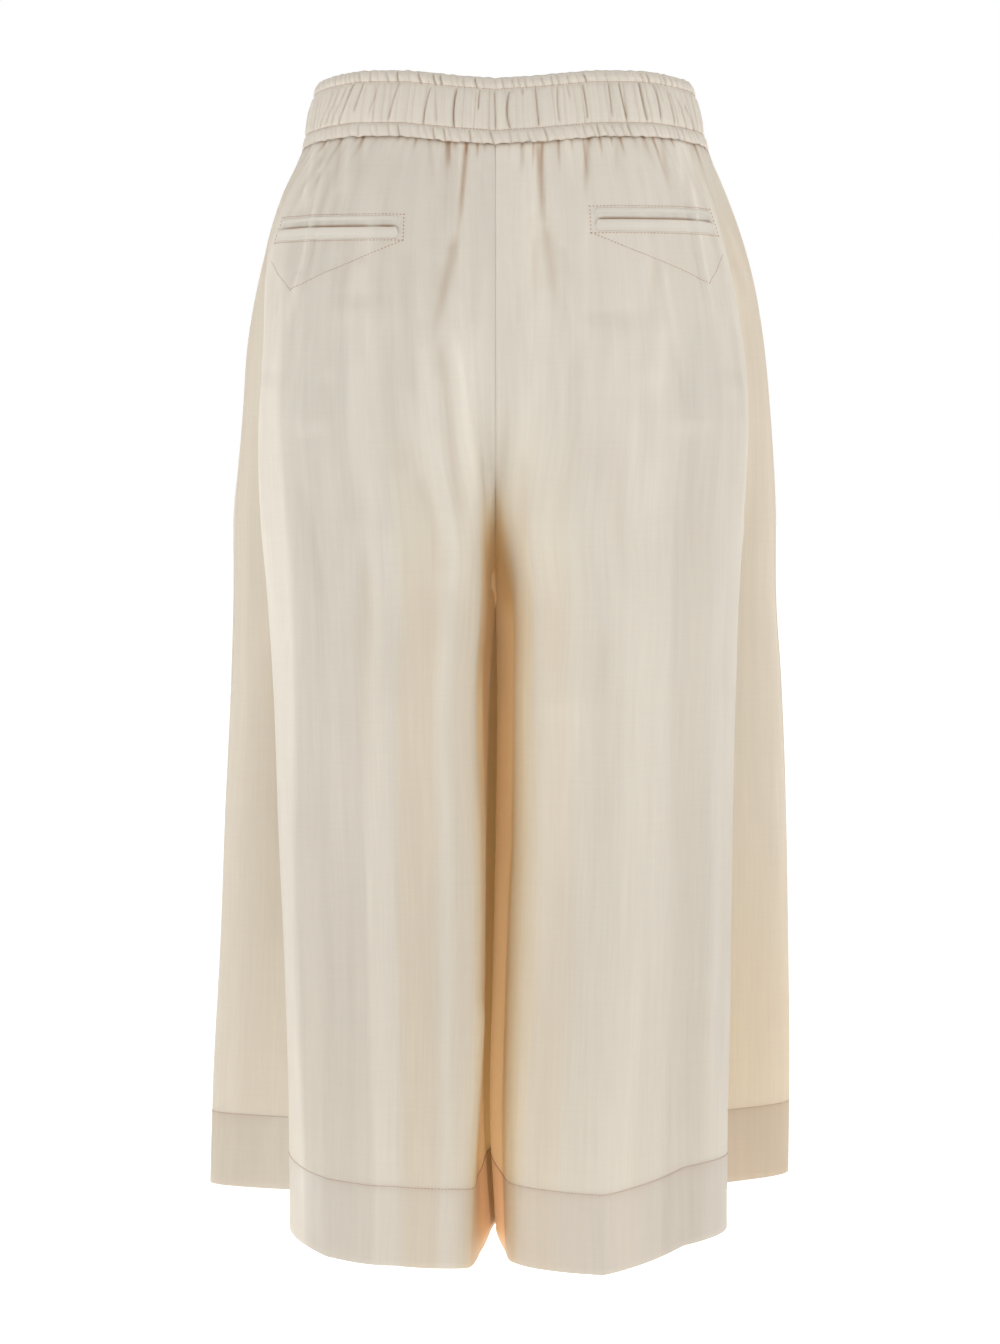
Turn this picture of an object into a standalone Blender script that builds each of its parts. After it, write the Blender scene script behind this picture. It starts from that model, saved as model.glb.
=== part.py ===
"""Wide bermuda shorts with a gathered elastic waist, hanging open as they are worn.

The wearer faces -Y, so the back of the shorts faces +Y and the wearer's left is +X.
The origin is the centre of the waist opening, level with the band's top edge.
Each panel is a loft: a smooth curve runs round the stations of a section, and the
sections follow one another down the leg. Sections are in millimetres, and their x
counts outward from the middle of the body, on either leg.
"""

import math
from collections import namedtuple

import bmesh
import bpy
import numpy as np

MM = 0.001

# Driving sizes, in millimetres.
CLOTH = 1.5            # wall of one layer of cloth
HEM_CLOTH = 2.4        # wall where the hem is turned up
HEM_DEPTH = 53.0       # height of the turned-up hem
HEM_Z = -789.0         # lowest level of the legs, before the sides lift
CROTCH_Z = -345.0      # where the four panels meet
CROTCH_Y = 10.0        # that place, and the inseam at the hem, behind the middle
INSEAM_HEM_Y = 20.0
BAND_BASE = -44.0      # lower edge of the waistband at the back seam
BAND_HEIGHT = 44.0     # the band's three channels together
BAND_WALL = 3.0        # elastic between two layers of cloth
SEAM_GAP = 0.3         # air between two pieces that are sewn together
GATHER_DEPTH = 1.3     # half the height of a gather under the band
POCKET_PROUD = 0.3     # air between a welt and the panel it lies on
WELT_CLOTH = 1.2       # wall of a folded welt

# Stations round a leg's section. The back panel runs from the seat seam (inseam, below
# the crotch) to the side seam, and the front panel from there to the front seam.
SEAM, THIGH, INNER, MID, OUT, FOLD, VALLEY, SIDE = range(8)
CORNER, CREST, TROUGH, MIDDLE, FRONT_INNER, FRONT_THIGH, FRONT_SEAM = range(8, 15)

# Back sections: where the seam, the inner corner, the fold's edge, the valley behind it
# and the side seam lie, and how far back the seat or leg reaches.
Back = namedtuple("Back", "z seam_x seam_y inner_x inner_y back_y fold_x fold_y "
                          "valley_x valley_y side_x side_y")
LEFT_BACK = (
    Back(-44, 0, 88, 27, 86, 77, 117, 41, 128, 21, 132, 0),
    Back(-83, 0, 99, 27, 98, 91, 143, 31, 149, 12, 149, -6),
    Back(-125, 0, 108, 26, 108, 103, 155, 36, 157, 15, 162, -9),
    Back(-167, 0, 112, 24, 114, 110, 157, 39, 153, 16, 170, -13),
    Back(-226, 0, 105, 20, 112, 113, 160, 39, 151, 11, 175, -17),
    Back(-292, 0, 78, 11, 104, 114, 159, 36, 146, 3, 180, -22),
    Back(-345, 0, 10, 11, 100, 116, 155, 32, 142, -5, 182, -29),
    Back(-410, 4, 11.5, 15, 105, 119, 151, 26, 135, -14, 185, -38),
    Back(-510, 6, 13.7, 11, 110, 122, 148, 19, 130, -24, 191, -51),
    Back(-610, 7, 16, 11, 114, 125, 144, 12, 126, -30, 196, -63),
    Back(-710, 8, 18.2, 14, 117, 128, 142, 6, 124, -34, 202, -72),
    Back(-789, 3, 20, 17, 118, 129, 142, 1, 123, -37, 205, -79),
)
RIGHT_BACK = (
    Back(-44, 0, 88, 30, 86, 77, 128, 41, 141, 21, 145, 0),
    Back(-83, 0, 99, 29, 98, 92, 147, 34, 152, 17, 163, -8),
    Back(-125, 0, 108, 28, 108, 105, 159, 38, 160, 17, 176, -9),
    Back(-167, 0, 112, 27, 114, 112, 166, 40, 161, 14, 184, -13),
    Back(-226, 0, 105, 25, 113, 115, 171, 40, 161, 11, 190, -17),
    Back(-292, 0, 78, 19, 110, 117, 168, 37, 155, 4, 194, -22),
    Back(-345, 0, 10, 24, 112, 120, 166, 33, 151, -4, 195, -29),
    Back(-410, 1, 11.5, 23, 115, 124, 163, 27, 146, -12, 200, -38),
    Back(-510, 0, 13.7, 22, 118, 129, 161, 20, 143, -22, 205, -51),
    Back(-610, -2, 16, 18, 121, 134, 160, 13, 141, -28, 208, -63),
    Back(-710, -4, 18.2, 14, 123, 138, 159, 6, 140, -33, 210, -72),
    Back(-789, 0, 20, 14, 123, 140, 159, 1, 139, -36, 210, -79),
)
MID_SHARE = 0.40       # of the way from the inner corner to the fold
OUT_SHARE = 0.78
OUT_DROP = 0.33        # how far the back face has turned forward there
THIGH_ACROSS, THIGH_BACK = 0.42, 0.55   # of the way from the seam to the inner corner
THIGH_EASE = 80.0      # depth below the crotch over which the front thigh finds its place
CLOSING_Z = -250.0     # from here to the crotch the two legs' sections part into rings

# Front sections: one plain shape for both legs. Its widths are shares of the side's.
Front = namedtuple("Front", "z seam_y inner_x inner_y middle_y trough_y crest_y")
FRONT = (
    Front(-44, -80, 22, -79, -76, -69, -59),
    Front(-83, -88, 24, -87, -84, -78, -71),
    Front(-125, -93, 24, -93, -91, -85, -82),
    Front(-167, -95, 24, -96, -95, -88, -89),
    Front(-226, -90, 22, -97, -99, -89, -97),
    Front(-292, -66, 18, -96, -104, -91, -104),
    Front(-345, 10, 20, -96, -109, -93, -109),
    Front(-410, 11.5, 22, -98, -114, -96, -114),
    Front(-510, 13.7, 22, -103, -121, -100, -121),
    Front(-610, 16, 22, -108, -127, -103, -127),
    Front(-710, 18.2, 22, -113, -133, -106, -133),
    Front(-789, 20, 22, -116, -137, -108, -137),
)
CORNER_SHARE, CREST_SHARE, TROUGH_SHARE, MIDDLE_SHARE = 0.90, 0.68, 0.50, 0.32
CORNER_TURN = 0.66     # how far the front corner has turned forward of the side

# How far each station's edge rises above its level, in millimetres.
WAIST_RISE = (0, 1, 2, 6, 6.5, 5, 3, 0, 0, 2, 4, 4, 1, 0, 0)
LEFT_HEM_RISE = (2, 0, -3, 1, -2, 5, 15, 17, 14, 8, 8, 6, 4, 2, 2)
RIGHT_HEM_RISE = (3, 0, 1, -3, 7, 3, 18, 25, 20, 11, 8, 6, 4, 2, 3)
WAIST_FADE = 90.0      # depth over which the waist's rise dies out

# Soft folds of the cloth: where each starts and ends, in stations and levels, how deep
# it is (troughs are negative) and how wide, in stations. Each one starts part-way up its
# height and sinks back into the cloth over the last third of its length.
FOLD_START, FOLD_RISE, FOLD_END = 0.12, 0.20, 0.35      # shares of its length
Fold = namedtuple("Fold", "top_t top_z end_t end_z depth width")
LEFT_FOLDS = (
    Fold(2.00, -44, 2.95, -420, -5.0, 0.30),
    Fold(1.70, -44, 1.90, -250, 2.5, 0.30),
    Fold(3.30, -150, 2.90, -800, 3.0, 0.35),
    Fold(3.90, -230, 3.60, -800, -3.5, 0.35),
    Fold(2.40, -330, 2.35, -800, -3.0, 0.25),
    Fold(4.60, -200, 4.50, -800, 2.5, 0.35),
    Fold(10.40, -44, 10.60, -330, -3.5, 0.35),
    Fold(12.00, -60, 12.10, -420, 3.0, 0.40),
)
RIGHT_FOLDS = (
    Fold(2.15, -44, 2.55, -300, -4.5, 0.30),
    Fold(1.60, -44, 1.80, -260, 2.0, 0.30),
    Fold(2.90, -160, 3.00, -800, 3.0, 0.45),
    Fold(3.90, -230, 4.05, -800, -3.5, 0.35),
    Fold(2.40, -420, 2.45, -800, -2.5, 0.25),
    Fold(4.55, -200, 4.60, -800, 2.5, 0.30),
    Fold(9.90, -44, 9.70, -300, -3.5, 0.35),
    Fold(12.20, -60, 12.00, -420, 3.0, 0.40),
)

# A leg: its side of the body, its sections, folds and hem, how far the front of its
# thigh stands off the middle below the crotch, and the levels of its pocket.
Leg = namedtuple("Leg", "name sign back folds hem_rise thigh_x "
                        "pocket_top pocket_slit pocket_low")
LEGS = (
    Leg("left", 1, LEFT_BACK, LEFT_FOLDS, LEFT_HEM_RISE, -2.0, -93.5, -100.0, -107.5),
    Leg("right", -1, RIGHT_BACK, RIGHT_FOLDS, RIGHT_HEM_RISE, 8.5, -88.5, -95.5, -103.0),
)
POCKET_IN, POCKET_OUT = 2.75, 4.75      # the pocket's two ends, in stations

# Waistband profile: height above its lower edge, how far the outer face bulges, and how
# deep its gathers cut in there: deep ones in the wide channel, fine ones in the others.
Channel = namedtuple("Channel", "height bulge deep fine")
BAND_PROFILE = (
    Channel(0.0, 0.0, 0.0, 0.5),
    Channel(4.8, 1.2, 0.0, 1.0),
    Channel(9.4, -0.5, 0.2, 0.2),
    Channel(13.5, 1.1, 1.4, 0.0),
    Channel(23.0, 1.7, 1.6, 0.0),
    Channel(32.5, 1.0, 1.4, 0.0),
    Channel(36.8, -0.5, 0.2, 0.2),
    Channel(40.6, 0.9, 0.0, 1.0),
    Channel(44.0, -0.3, 0.0, 0.4),
)
BAND_COLUMNS = 192
RING_STEP = 0.05       # stations between the points that the ring of columns is read from
BAND_LEAN = 0.07       # how much narrower the band's top is than its lower edge
FINE_STEP = 4          # columns from one fine gather to the next
# Where the wide channel's deep gathers stand across the back: their x, outward on the
# left, and negative on the right.
BACK_GATHERS = (108, 100, 94, 76, 54, 29, 14, 1, -12, -31, -45, -64, -82, -95, -108,
                -118, -126, -134)
FRONT_GATHERS = 22     # deep gathers round the front
FRONT_UNEVEN, FRONT_BEAT = 0.3, 2.3     # how far they stray from even steps, and how soon

# Gathers of the panels under the band: their length's middle, its slow and quick change
# from one column to the next, and how far each change goes.
GATHER_LENGTH = 26.0
QUICK_CHANGE, QUICK_BEAT = 14.0, 2.1
SLOW_CHANGE, SLOW_BEAT = 8.0, 0.7

# Levels of the panels' rows, closer where the shape turns. The two panels of a leg
# share them, so that their seams run side by side.
LEVELS = (-44, -56, -70, -83, -130, -160, -200, -240, -275, -300, -320, -334, -342,
          CROTCH_Z, -356, -380, -430, -500, -580, -660, HEM_Z + HEM_DEPTH + 1,
          HEM_Z + HEM_DEPTH, HEM_Z)
BACK_STEP, FRONT_STEP = 0.25, 1 / 3     # columns, in stations

SHARP_FROM = 50.0      # degrees at which two faces meet in a sharp edge
CREAM = (0.74, 0.68, 0.59, 1.0)
WARM_CREAM = (0.76, 0.66, 0.53, 1.0)
SOFT, SOFTER = 0.62, 0.66               # roughness of the two cloths


def smooth_curve(knots, values, at):
    """Values along a smooth curve through the rows of values that stand at the knots."""
    knots = np.asarray(knots, float)
    values = np.asarray(values, float)
    at = np.asarray(at, float)
    steps = np.diff(knots)
    slopes = np.diff(values, axis=0) / steps[:, None]
    tangents = np.vstack((slopes[:1], slopes))
    before, after = steps[:-1, None], steps[1:, None]
    tangents[1:-1] = (slopes[:-1] * after + slopes[1:] * before) / (before + after)
    cell = np.clip(np.searchsorted(knots, at, side="right") - 1, 0, len(steps) - 1)
    span = steps[cell][:, None]
    s = (at - knots[cell])[:, None] / span
    start, end = values[cell], values[cell + 1]
    return (start + s * s * (3 - 2 * s) * (end - start)
            + s * (1 - s) * (1 - s) * span * tangents[cell]
            - s * s * (1 - s) * span * tangents[cell + 1])


def ramp(value, low, high):
    """0 at low, 1 at high, with a smooth rise between."""
    s = np.clip((value - low) / (high - low), 0.0, 1.0)
    return s * s * (3 - 2 * s)


def section_at(table, z):
    """The named section at one level, between the rows of a table."""
    knots = [-row.z for row in table]
    return type(table[0])(*smooth_curve(knots, table, [-z])[0])


def stations(leg, z):
    """The section's stations, from the back seam round the side to the front seam."""
    back = section_at(leg.back, z)
    front = section_at(FRONT, z)
    width = back.fold_x - back.inner_x
    turn = back.back_y - back.fold_y
    corner_y = back.side_y + CORNER_TURN * (front.crest_y - back.side_y)
    down_leg = ramp(CROTCH_Z - z, 0, THIGH_EASE)
    inseam_y = CROTCH_Y + (INSEAM_HEM_Y - CROTCH_Y) * (CROTCH_Z - z) / (CROTCH_Z - HEM_Z)
    back_seam_y = max(back.seam_y, inseam_y)
    front_seam_y = min(front.seam_y, inseam_y)
    front_thigh_x = THIGH_ACROSS * front.inner_x * (1 - down_leg) + leg.thigh_x * down_leg
    return np.array((
        (back.seam_x, back_seam_y),
        (back.seam_x + THIGH_ACROSS * (back.inner_x - back.seam_x),
         back_seam_y + THIGH_BACK * (back.inner_y - back_seam_y)),
        (back.inner_x, back.inner_y),
        (back.inner_x + MID_SHARE * width, back.back_y),
        (back.inner_x + OUT_SHARE * width, back.back_y - OUT_DROP * turn),
        (back.fold_x, back.fold_y),
        (back.valley_x, back.valley_y),
        (back.side_x, back.side_y),
        (CORNER_SHARE * back.side_x, corner_y),
        (CREST_SHARE * back.side_x, front.crest_y),
        (TROUGH_SHARE * back.side_x, front.trough_y),
        (MIDDLE_SHARE * back.side_x, front.middle_y),
        (front.inner_x, front.inner_y),
        (front_thigh_x, front_seam_y + THIGH_BACK * (front.inner_y - front_seam_y)),
        (back.seam_x, front_seam_y),
    ))


def outline(leg, z, at):
    """The section at the given stations: its points, which way is out, and its rise."""
    points = stations(leg, z)
    closed = ramp(CLOSING_Z - z, 0, CLOSING_Z - CROTCH_Z)
    mirror = np.array((-1.0, 1.0))
    before = (1 - closed) * points[THIGH] * mirror + closed * points[FRONT_THIGH]
    after = (1 - closed) * points[FRONT_THIGH] * mirror + closed * points[THIGH]
    ring = np.vstack((before, points, after))
    lengths = np.linalg.norm(np.diff(ring, axis=0), axis=1)
    knots = np.concatenate(((0.0,), np.cumsum(lengths)))
    cell = np.clip(np.floor(at).astype(int), 0, len(points) - 2)
    places = knots[cell + 1] + (at - cell) * lengths[cell + 1]
    plan = smooth_curve(knots, ring, places)
    ahead = smooth_curve(knots, ring, places + 0.5) - smooth_curve(knots, ring, places - 0.5)
    outward = np.stack((-ahead[:, 1], ahead[:, 0]), axis=1)
    outward /= np.linalg.norm(outward, axis=1)[:, None]
    plan += outward * fold_height(leg.folds, z, at)[:, None]
    names = np.arange(len(points))
    waist = np.interp(at, names, WAIST_RISE) * (1 - ramp(BAND_BASE - z, 0, WAIST_FADE))
    hem = np.interp(at, names, leg.hem_rise) * ramp(CROTCH_Z - z, 0, CROTCH_Z - HEM_Z)
    return plan, outward, waist + hem


def fold_height(folds, z, at):
    """How far the soft folds raise or sink the cloth at one level."""
    height = np.zeros(len(at))
    for fold in folds:
        down = (fold.top_z - z) / (fold.top_z - fold.end_z)
        if not 0 <= down <= 1:
            continue
        middle = fold.top_t + (fold.end_t - fold.top_t) * down
        fade = ramp(1 - down, 0, FOLD_END) * ramp(down + FOLD_START, 0, FOLD_RISE)
        height += fold.depth * fade * np.exp(-((at - middle) / fold.width) ** 2)
    return height


def gathers(z, columns):
    """Gathers under the band: every other column stands out, and each one dies away."""
    lengths = (GATHER_LENGTH + QUICK_CHANGE * np.sin(columns * QUICK_BEAT)
               + SLOW_CHANGE * np.sin(columns * SLOW_BEAT))
    fade = 1 - ramp((BAND_BASE - z) / lengths, 0, 1)
    return GATHER_DEPTH * np.where(columns % 2 == 0, 1, -1) * fade


def panel_points(leg, at, levels):
    """The outer face of a panel, a row of points for each level, and its normals."""
    columns = np.arange(len(at))
    inside = np.where((columns > 0) & (columns < len(at) - 1), 1, 0)
    points, normals = [], []
    for z in levels:
        plan, outward, rise = outline(leg, z, at)
        slope = outline(leg, z + 1, at)[0] - outline(leg, z - 1, at)[0]
        facing = np.column_stack((outward, -np.sum(outward * slope, axis=1) / 2))
        plan = plan + outward * (gathers(z, columns) * inside)[:, None]
        points.append(np.column_stack((plan, z + rise)))
        normals.append(facing / np.linalg.norm(facing, axis=1)[:, None])
    return np.array(points), np.array(normals)


def shut_wall(outer, inner, sign):
    """A closed wall between two grids of the same size, mirrored for the right leg."""
    rows, columns = outer.shape[:2]
    shell = bmesh.new()
    scale = np.array((sign, 1.0, 1.0)) * MM
    skins = [[[shell.verts.new(point * scale) for point in row] for row in grid]
             for grid in (outer, inner)]
    out, back = skins
    rim = ([(0, c) for c in range(columns)]
           + [(r, columns - 1) for r in range(1, rows)]
           + [(rows - 1, c) for c in range(columns - 2, -1, -1)]
           + [(r, 0) for r in range(rows - 2, 0, -1)])
    for r in range(rows - 1):
        for c in range(columns - 1):
            corners = ((r, c), (r, c + 1), (r + 1, c + 1), (r + 1, c))
            shell.faces.new([out[i][j] for i, j in corners])
            shell.faces.new([back[i][j] for i, j in reversed(corners)])
    for (i, j), (k, m) in zip(rim, rim[1:] + rim[:1]):
        shell.faces.new((out[k][m], out[i][j], back[i][j], back[k][m]))
    bmesh.ops.recalc_face_normals(shell, faces=shell.faces)
    return shell


def place(shell, name, material):
    """Put a finished body in the scene under its name."""
    mesh = bpy.data.meshes.new(name)
    shell.to_mesh(mesh)
    shell.free()
    mesh.shade_smooth()
    mesh.set_sharp_from_angle(angle=math.radians(SHARP_FROM))
    mesh.materials.append(material)
    shorts.objects.link(bpy.data.objects.new(name, mesh))


def cloth_material(name, colour, roughness):
    """A plain woven cloth."""
    material = bpy.data.materials.new(name)
    material.use_nodes = True
    shader = material.node_tree.nodes["Principled BSDF"]
    shader.inputs["Base Color"].default_value = colour
    shader.inputs["Roughness"].default_value = roughness
    return material


def make_panel(leg, side, first, last, step, levels):
    """A back or front panel as a closed wall, thicker where its hem is turned up."""
    at = np.linspace(first, last, round((last - first) / step) + 1)
    outer, normals = panel_points(leg, at, levels)
    middle_edge, side_edge = (0, -1) if side == "back" else (-1, 0)
    away = 1 if side == "back" else -1
    along = outer[:, side_edge - away] - outer[:, side_edge]
    outer[:, side_edge] += along / np.linalg.norm(along, axis=1)[:, None] * SEAM_GAP / 2
    outer[:, middle_edge] += np.array((1, away, 0)) * SEAM_GAP / 2
    thick = np.array([HEM_CLOTH if z <= HEM_Z + HEM_DEPTH else CLOTH for z in levels])
    inner = outer - normals * thick[:, None, None]
    inner[:, middle_edge, 0] = np.maximum(inner[:, middle_edge, 0], outer[:, middle_edge, 0])
    inner[0, :, 2] = outer[0, :, 2]
    inner[-1, :, 2] = outer[-1, :, 2]
    place(shut_wall(outer, inner, leg.sign), f"{side}_{leg.name}", cream)
    return outer, normals


def make_pocket(leg, levels, outer, normals):
    """Two welts that lie on the back panel, on either side of the pocket's slit."""
    columns = slice(round(POCKET_IN / BACK_STEP), round(POCKET_OUT / BACK_STEP) + 1)
    for name, high, low in (("upper", leg.pocket_top, leg.pocket_slit),
                            ("lower", leg.pocket_slit, leg.pocket_low)):
        rows = [levels.index(high), levels.index(low)]
        face = outer[rows, columns]
        way = normals[rows, columns]
        under = face + way * POCKET_PROUD
        under[0, :, 2] -= SEAM_GAP / 2
        under[1, :, 2] += SEAM_GAP / 2
        node = f"pocket_{leg.name}_{name}_welt"
        place(shut_wall(under + way * WELT_CLOTH, under, leg.sign), node, cream)


def waist_ring():
    """The seam under the band, once round from the back seam: x, y and rise."""
    at = np.arange(0, FRONT_SEAM, RING_STEP)
    halves = []
    for leg in LEGS:
        plan, _, rise = outline(leg._replace(folds=()), BAND_BASE, at)
        halves.append(np.column_stack((plan[:, 0] * leg.sign, plan[:, 1], rise)))
    loop = np.vstack((halves[0], halves[1][:0:-1], halves[0][:1]))
    lengths = np.linalg.norm(np.diff(loop[:, :2], axis=0), axis=1)
    travelled = np.concatenate(((0.0,), np.cumsum(lengths)))
    even = np.linspace(0, travelled[-1], BAND_COLUMNS, endpoint=False)
    return np.stack([np.interp(even, travelled, loop[:, i]) for i in range(3)], axis=1)


def gather_columns(ring):
    """The columns where the wide channel's deep gathers lie."""
    back = [i for i in range(BAND_COLUMNS) if ring[i, 1] > 0]
    deep = {min(back, key=lambda i: abs(ring[i, 0] - x)) for x in BACK_GATHERS}
    front = [i for i in range(BAND_COLUMNS) if ring[i, 1] <= 0]
    pitch = len(front) / FRONT_GATHERS
    for k in range(FRONT_GATHERS):
        deep.add(front[int((k + 0.5 + FRONT_UNEVEN * math.sin(k * FRONT_BEAT)) * pitch)])
    return deep


def make_waistband():
    """The gathered band: three channels outside, a plain face against the body."""
    ring = waist_ring()
    ahead = np.roll(ring[:, :2], -1, axis=0) - np.roll(ring[:, :2], 1, axis=0)
    outward = np.stack((-ahead[:, 1], ahead[:, 0]), axis=1)
    outward /= np.linalg.norm(outward, axis=1)[:, None]
    deep = gather_columns(ring)
    is_deep = np.array([i in deep for i in range(BAND_COLUMNS)], float)
    is_fine = (np.arange(BAND_COLUMNS) % FINE_STEP == 0).astype(float)
    shell = bmesh.new()

    def level(height, proud):
        shrink = 1 - BAND_LEAN * height / BAND_HEIGHT
        plan = ring[:, :2] * shrink + outward * proud[:, None]
        z = BAND_BASE + SEAM_GAP + ring[:, 2] + height * (1 - SEAM_GAP / BAND_HEIGHT)
        return [shell.verts.new((x * MM, y * MM, h * MM)) for (x, y), h in zip(plan, z)]

    rings = [level(c.height, c.bulge - c.deep * is_deep - c.fine * is_fine)
             for c in BAND_PROFILE]
    inside = np.full(BAND_COLUMNS, -BAND_WALL)
    rings += [level(BAND_HEIGHT, inside), level(0.0, inside)]
    for lower, upper in zip(rings, rings[1:] + rings[:1]):
        for i in range(BAND_COLUMNS):
            j = (i + 1) % BAND_COLUMNS
            shell.faces.new((lower[i], lower[j], upper[j], upper[i]))
    bmesh.ops.recalc_face_normals(shell, faces=shell.faces)
    place(shell, "waistband", warm_cream)


for old in list(bpy.data.objects):
    bpy.data.objects.remove(old)
shorts = bpy.data.collections.new("Bermuda shorts")
bpy.context.scene.collection.children.link(shorts)
cream = cloth_material("cream cloth", CREAM, SOFT)
warm_cream = cloth_material("gathered cream cloth", WARM_CREAM, SOFTER)

make_waistband()
for leg in LEGS:
    levels = sorted(LEVELS + (leg.pocket_top, leg.pocket_slit, leg.pocket_low), reverse=True)
    make_panel(leg, "front", SIDE, FRONT_SEAM, FRONT_STEP, levels)
    make_pocket(leg, levels, *make_panel(leg, "back", SEAM, SIDE, BACK_STEP, levels))
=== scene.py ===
"""Looks of wide bermuda shorts in light cream cloth, hanging open as they are worn.

Lengths below are in millimetres, and MM turns them into metres. The back of the shorts
faces +Y, and x counts outward from the middle of the body on either leg.
"""
import math
from collections import namedtuple

import bpy
import numpy as np
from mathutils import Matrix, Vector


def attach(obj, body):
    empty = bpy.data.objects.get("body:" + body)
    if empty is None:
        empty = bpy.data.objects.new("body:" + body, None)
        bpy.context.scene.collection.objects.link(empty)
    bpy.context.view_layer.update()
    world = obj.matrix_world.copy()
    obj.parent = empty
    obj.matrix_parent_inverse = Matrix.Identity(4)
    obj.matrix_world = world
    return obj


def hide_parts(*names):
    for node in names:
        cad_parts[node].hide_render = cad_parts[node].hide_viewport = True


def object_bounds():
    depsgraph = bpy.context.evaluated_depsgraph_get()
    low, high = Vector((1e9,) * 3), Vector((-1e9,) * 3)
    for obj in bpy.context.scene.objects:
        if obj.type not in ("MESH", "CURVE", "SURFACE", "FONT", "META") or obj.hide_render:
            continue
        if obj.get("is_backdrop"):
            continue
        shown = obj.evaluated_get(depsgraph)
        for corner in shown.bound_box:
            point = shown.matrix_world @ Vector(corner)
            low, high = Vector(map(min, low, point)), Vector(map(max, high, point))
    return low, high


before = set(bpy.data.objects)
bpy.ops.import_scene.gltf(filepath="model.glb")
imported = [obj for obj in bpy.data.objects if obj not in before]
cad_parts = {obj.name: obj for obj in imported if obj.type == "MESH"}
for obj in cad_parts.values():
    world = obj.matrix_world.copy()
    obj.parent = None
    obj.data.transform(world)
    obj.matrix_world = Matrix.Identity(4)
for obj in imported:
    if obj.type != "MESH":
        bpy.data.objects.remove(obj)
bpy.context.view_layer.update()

MM = 0.001

# ---------------------------------------------------------------------------------------
# Camera: behind the shorts, a little above their middle, through a long lens that looks
# slightly down, as the photograph was taken.
# ---------------------------------------------------------------------------------------
CAMERA_AT = (-3, 2750, -213)
CAMERA_DOWN = 3.905            # degrees
CAMERA_LENS, CAMERA_FILM = 106.74, 36

camera = bpy.data.objects.new("camera", bpy.data.cameras.new("camera"))
camera.data.lens = CAMERA_LENS
camera.data.sensor_width = CAMERA_FILM
camera.location = [value * MM for value in CAMERA_AT]
camera.rotation_euler = (math.radians(90 - CAMERA_DOWN), 0, math.pi)
bpy.context.scene.collection.objects.link(camera)
bpy.context.scene.camera = camera

# ---------------------------------------------------------------------------------------
# Legs: a back and a front panel each, cut from one light cloth that shows a little light
# through it. They are sewn together with their edges turned in, and the hem is turned up
# inside and stitched down.
# ---------------------------------------------------------------------------------------
HEM_DEPTH = 53.0       # height of the turned-up hem
HEM_Z = -789.0         # lowest level of the legs, before the sides lift
CROTCH_Z = -345.0      # where the four panels meet
CROTCH_Y = 10.0        # that place, and the inseam at the hem, behind the middle
INSEAM_HEM_Y = 20.0
BAND_BASE = -44.0      # lower edge of the waistband at the back seam

# Stations round a leg's section. The back panel runs from the seat seam (inseam, below
# the crotch) to the side seam, and the front panel from there to the front seam.
SEAM, THIGH, INNER, MID, OUT, FOLD, VALLEY, SIDE = range(8)
CORNER, CREST, TROUGH, MIDDLE, FRONT_INNER, FRONT_THIGH, FRONT_SEAM = range(8, 15)

# Back sections: where the seam, the inner corner, the fold's edge, the valley behind it
# and the side seam lie, and how far back the seat or leg reaches.
Back = namedtuple("Back", "z seam_x seam_y inner_x inner_y back_y fold_x fold_y "
                          "valley_x valley_y side_x side_y")
LEFT_BACK = (
    Back(-44, 0, 88, 27, 86, 77, 117, 41, 128, 21, 132, 0),
    Back(-83, 0, 99, 27, 98, 91, 143, 31, 149, 12, 149, -6),
    Back(-125, 0, 108, 26, 108, 103, 155, 36, 157, 15, 162, -9),
    Back(-167, 0, 112, 24, 114, 110, 157, 39, 153, 16, 170, -13),
    Back(-226, 0, 105, 20, 112, 113, 160, 39, 151, 11, 175, -17),
    Back(-292, 0, 78, 11, 104, 114, 159, 36, 146, 3, 180, -22),
    Back(-345, 0, 10, 11, 100, 116, 155, 32, 142, -5, 182, -29),
    Back(-410, 4, 11.5, 15, 105, 119, 151, 26, 135, -14, 185, -38),
    Back(-510, 6, 13.7, 11, 110, 122, 148, 19, 130, -24, 191, -51),
    Back(-610, 7, 16, 11, 114, 125, 144, 12, 126, -30, 196, -63),
    Back(-710, 8, 18.2, 14, 117, 128, 142, 6, 124, -34, 202, -72),
    Back(-789, 3, 20, 17, 118, 129, 142, 1, 123, -37, 205, -79),
)
RIGHT_BACK = (
    Back(-44, 0, 88, 30, 86, 77, 128, 41, 141, 21, 145, 0),
    Back(-83, 0, 99, 29, 98, 92, 147, 34, 152, 17, 163, -8),
    Back(-125, 0, 108, 28, 108, 105, 159, 38, 160, 17, 176, -9),
    Back(-167, 0, 112, 27, 114, 112, 166, 40, 161, 14, 184, -13),
    Back(-226, 0, 105, 25, 113, 115, 171, 40, 161, 11, 190, -17),
    Back(-292, 0, 78, 19, 110, 117, 168, 37, 155, 4, 194, -22),
    Back(-345, 0, 10, 24, 112, 120, 166, 33, 151, -4, 195, -29),
    Back(-410, 1, 11.5, 23, 115, 124, 163, 27, 146, -12, 200, -38),
    Back(-510, 0, 13.7, 22, 118, 129, 161, 20, 143, -22, 205, -51),
    Back(-610, -2, 16, 18, 121, 134, 160, 13, 141, -28, 208, -63),
    Back(-710, -4, 18.2, 14, 123, 138, 159, 6, 140, -33, 210, -72),
    Back(-789, 0, 20, 14, 123, 140, 159, 1, 139, -36, 210, -79),
)
MID_SHARE = 0.40       # of the way from the inner corner to the fold
OUT_SHARE = 0.78
OUT_DROP = 0.33        # how far the back face has turned forward there
THIGH_ACROSS, THIGH_BACK = 0.42, 0.55   # of the way from the seam to the inner corner
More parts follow.
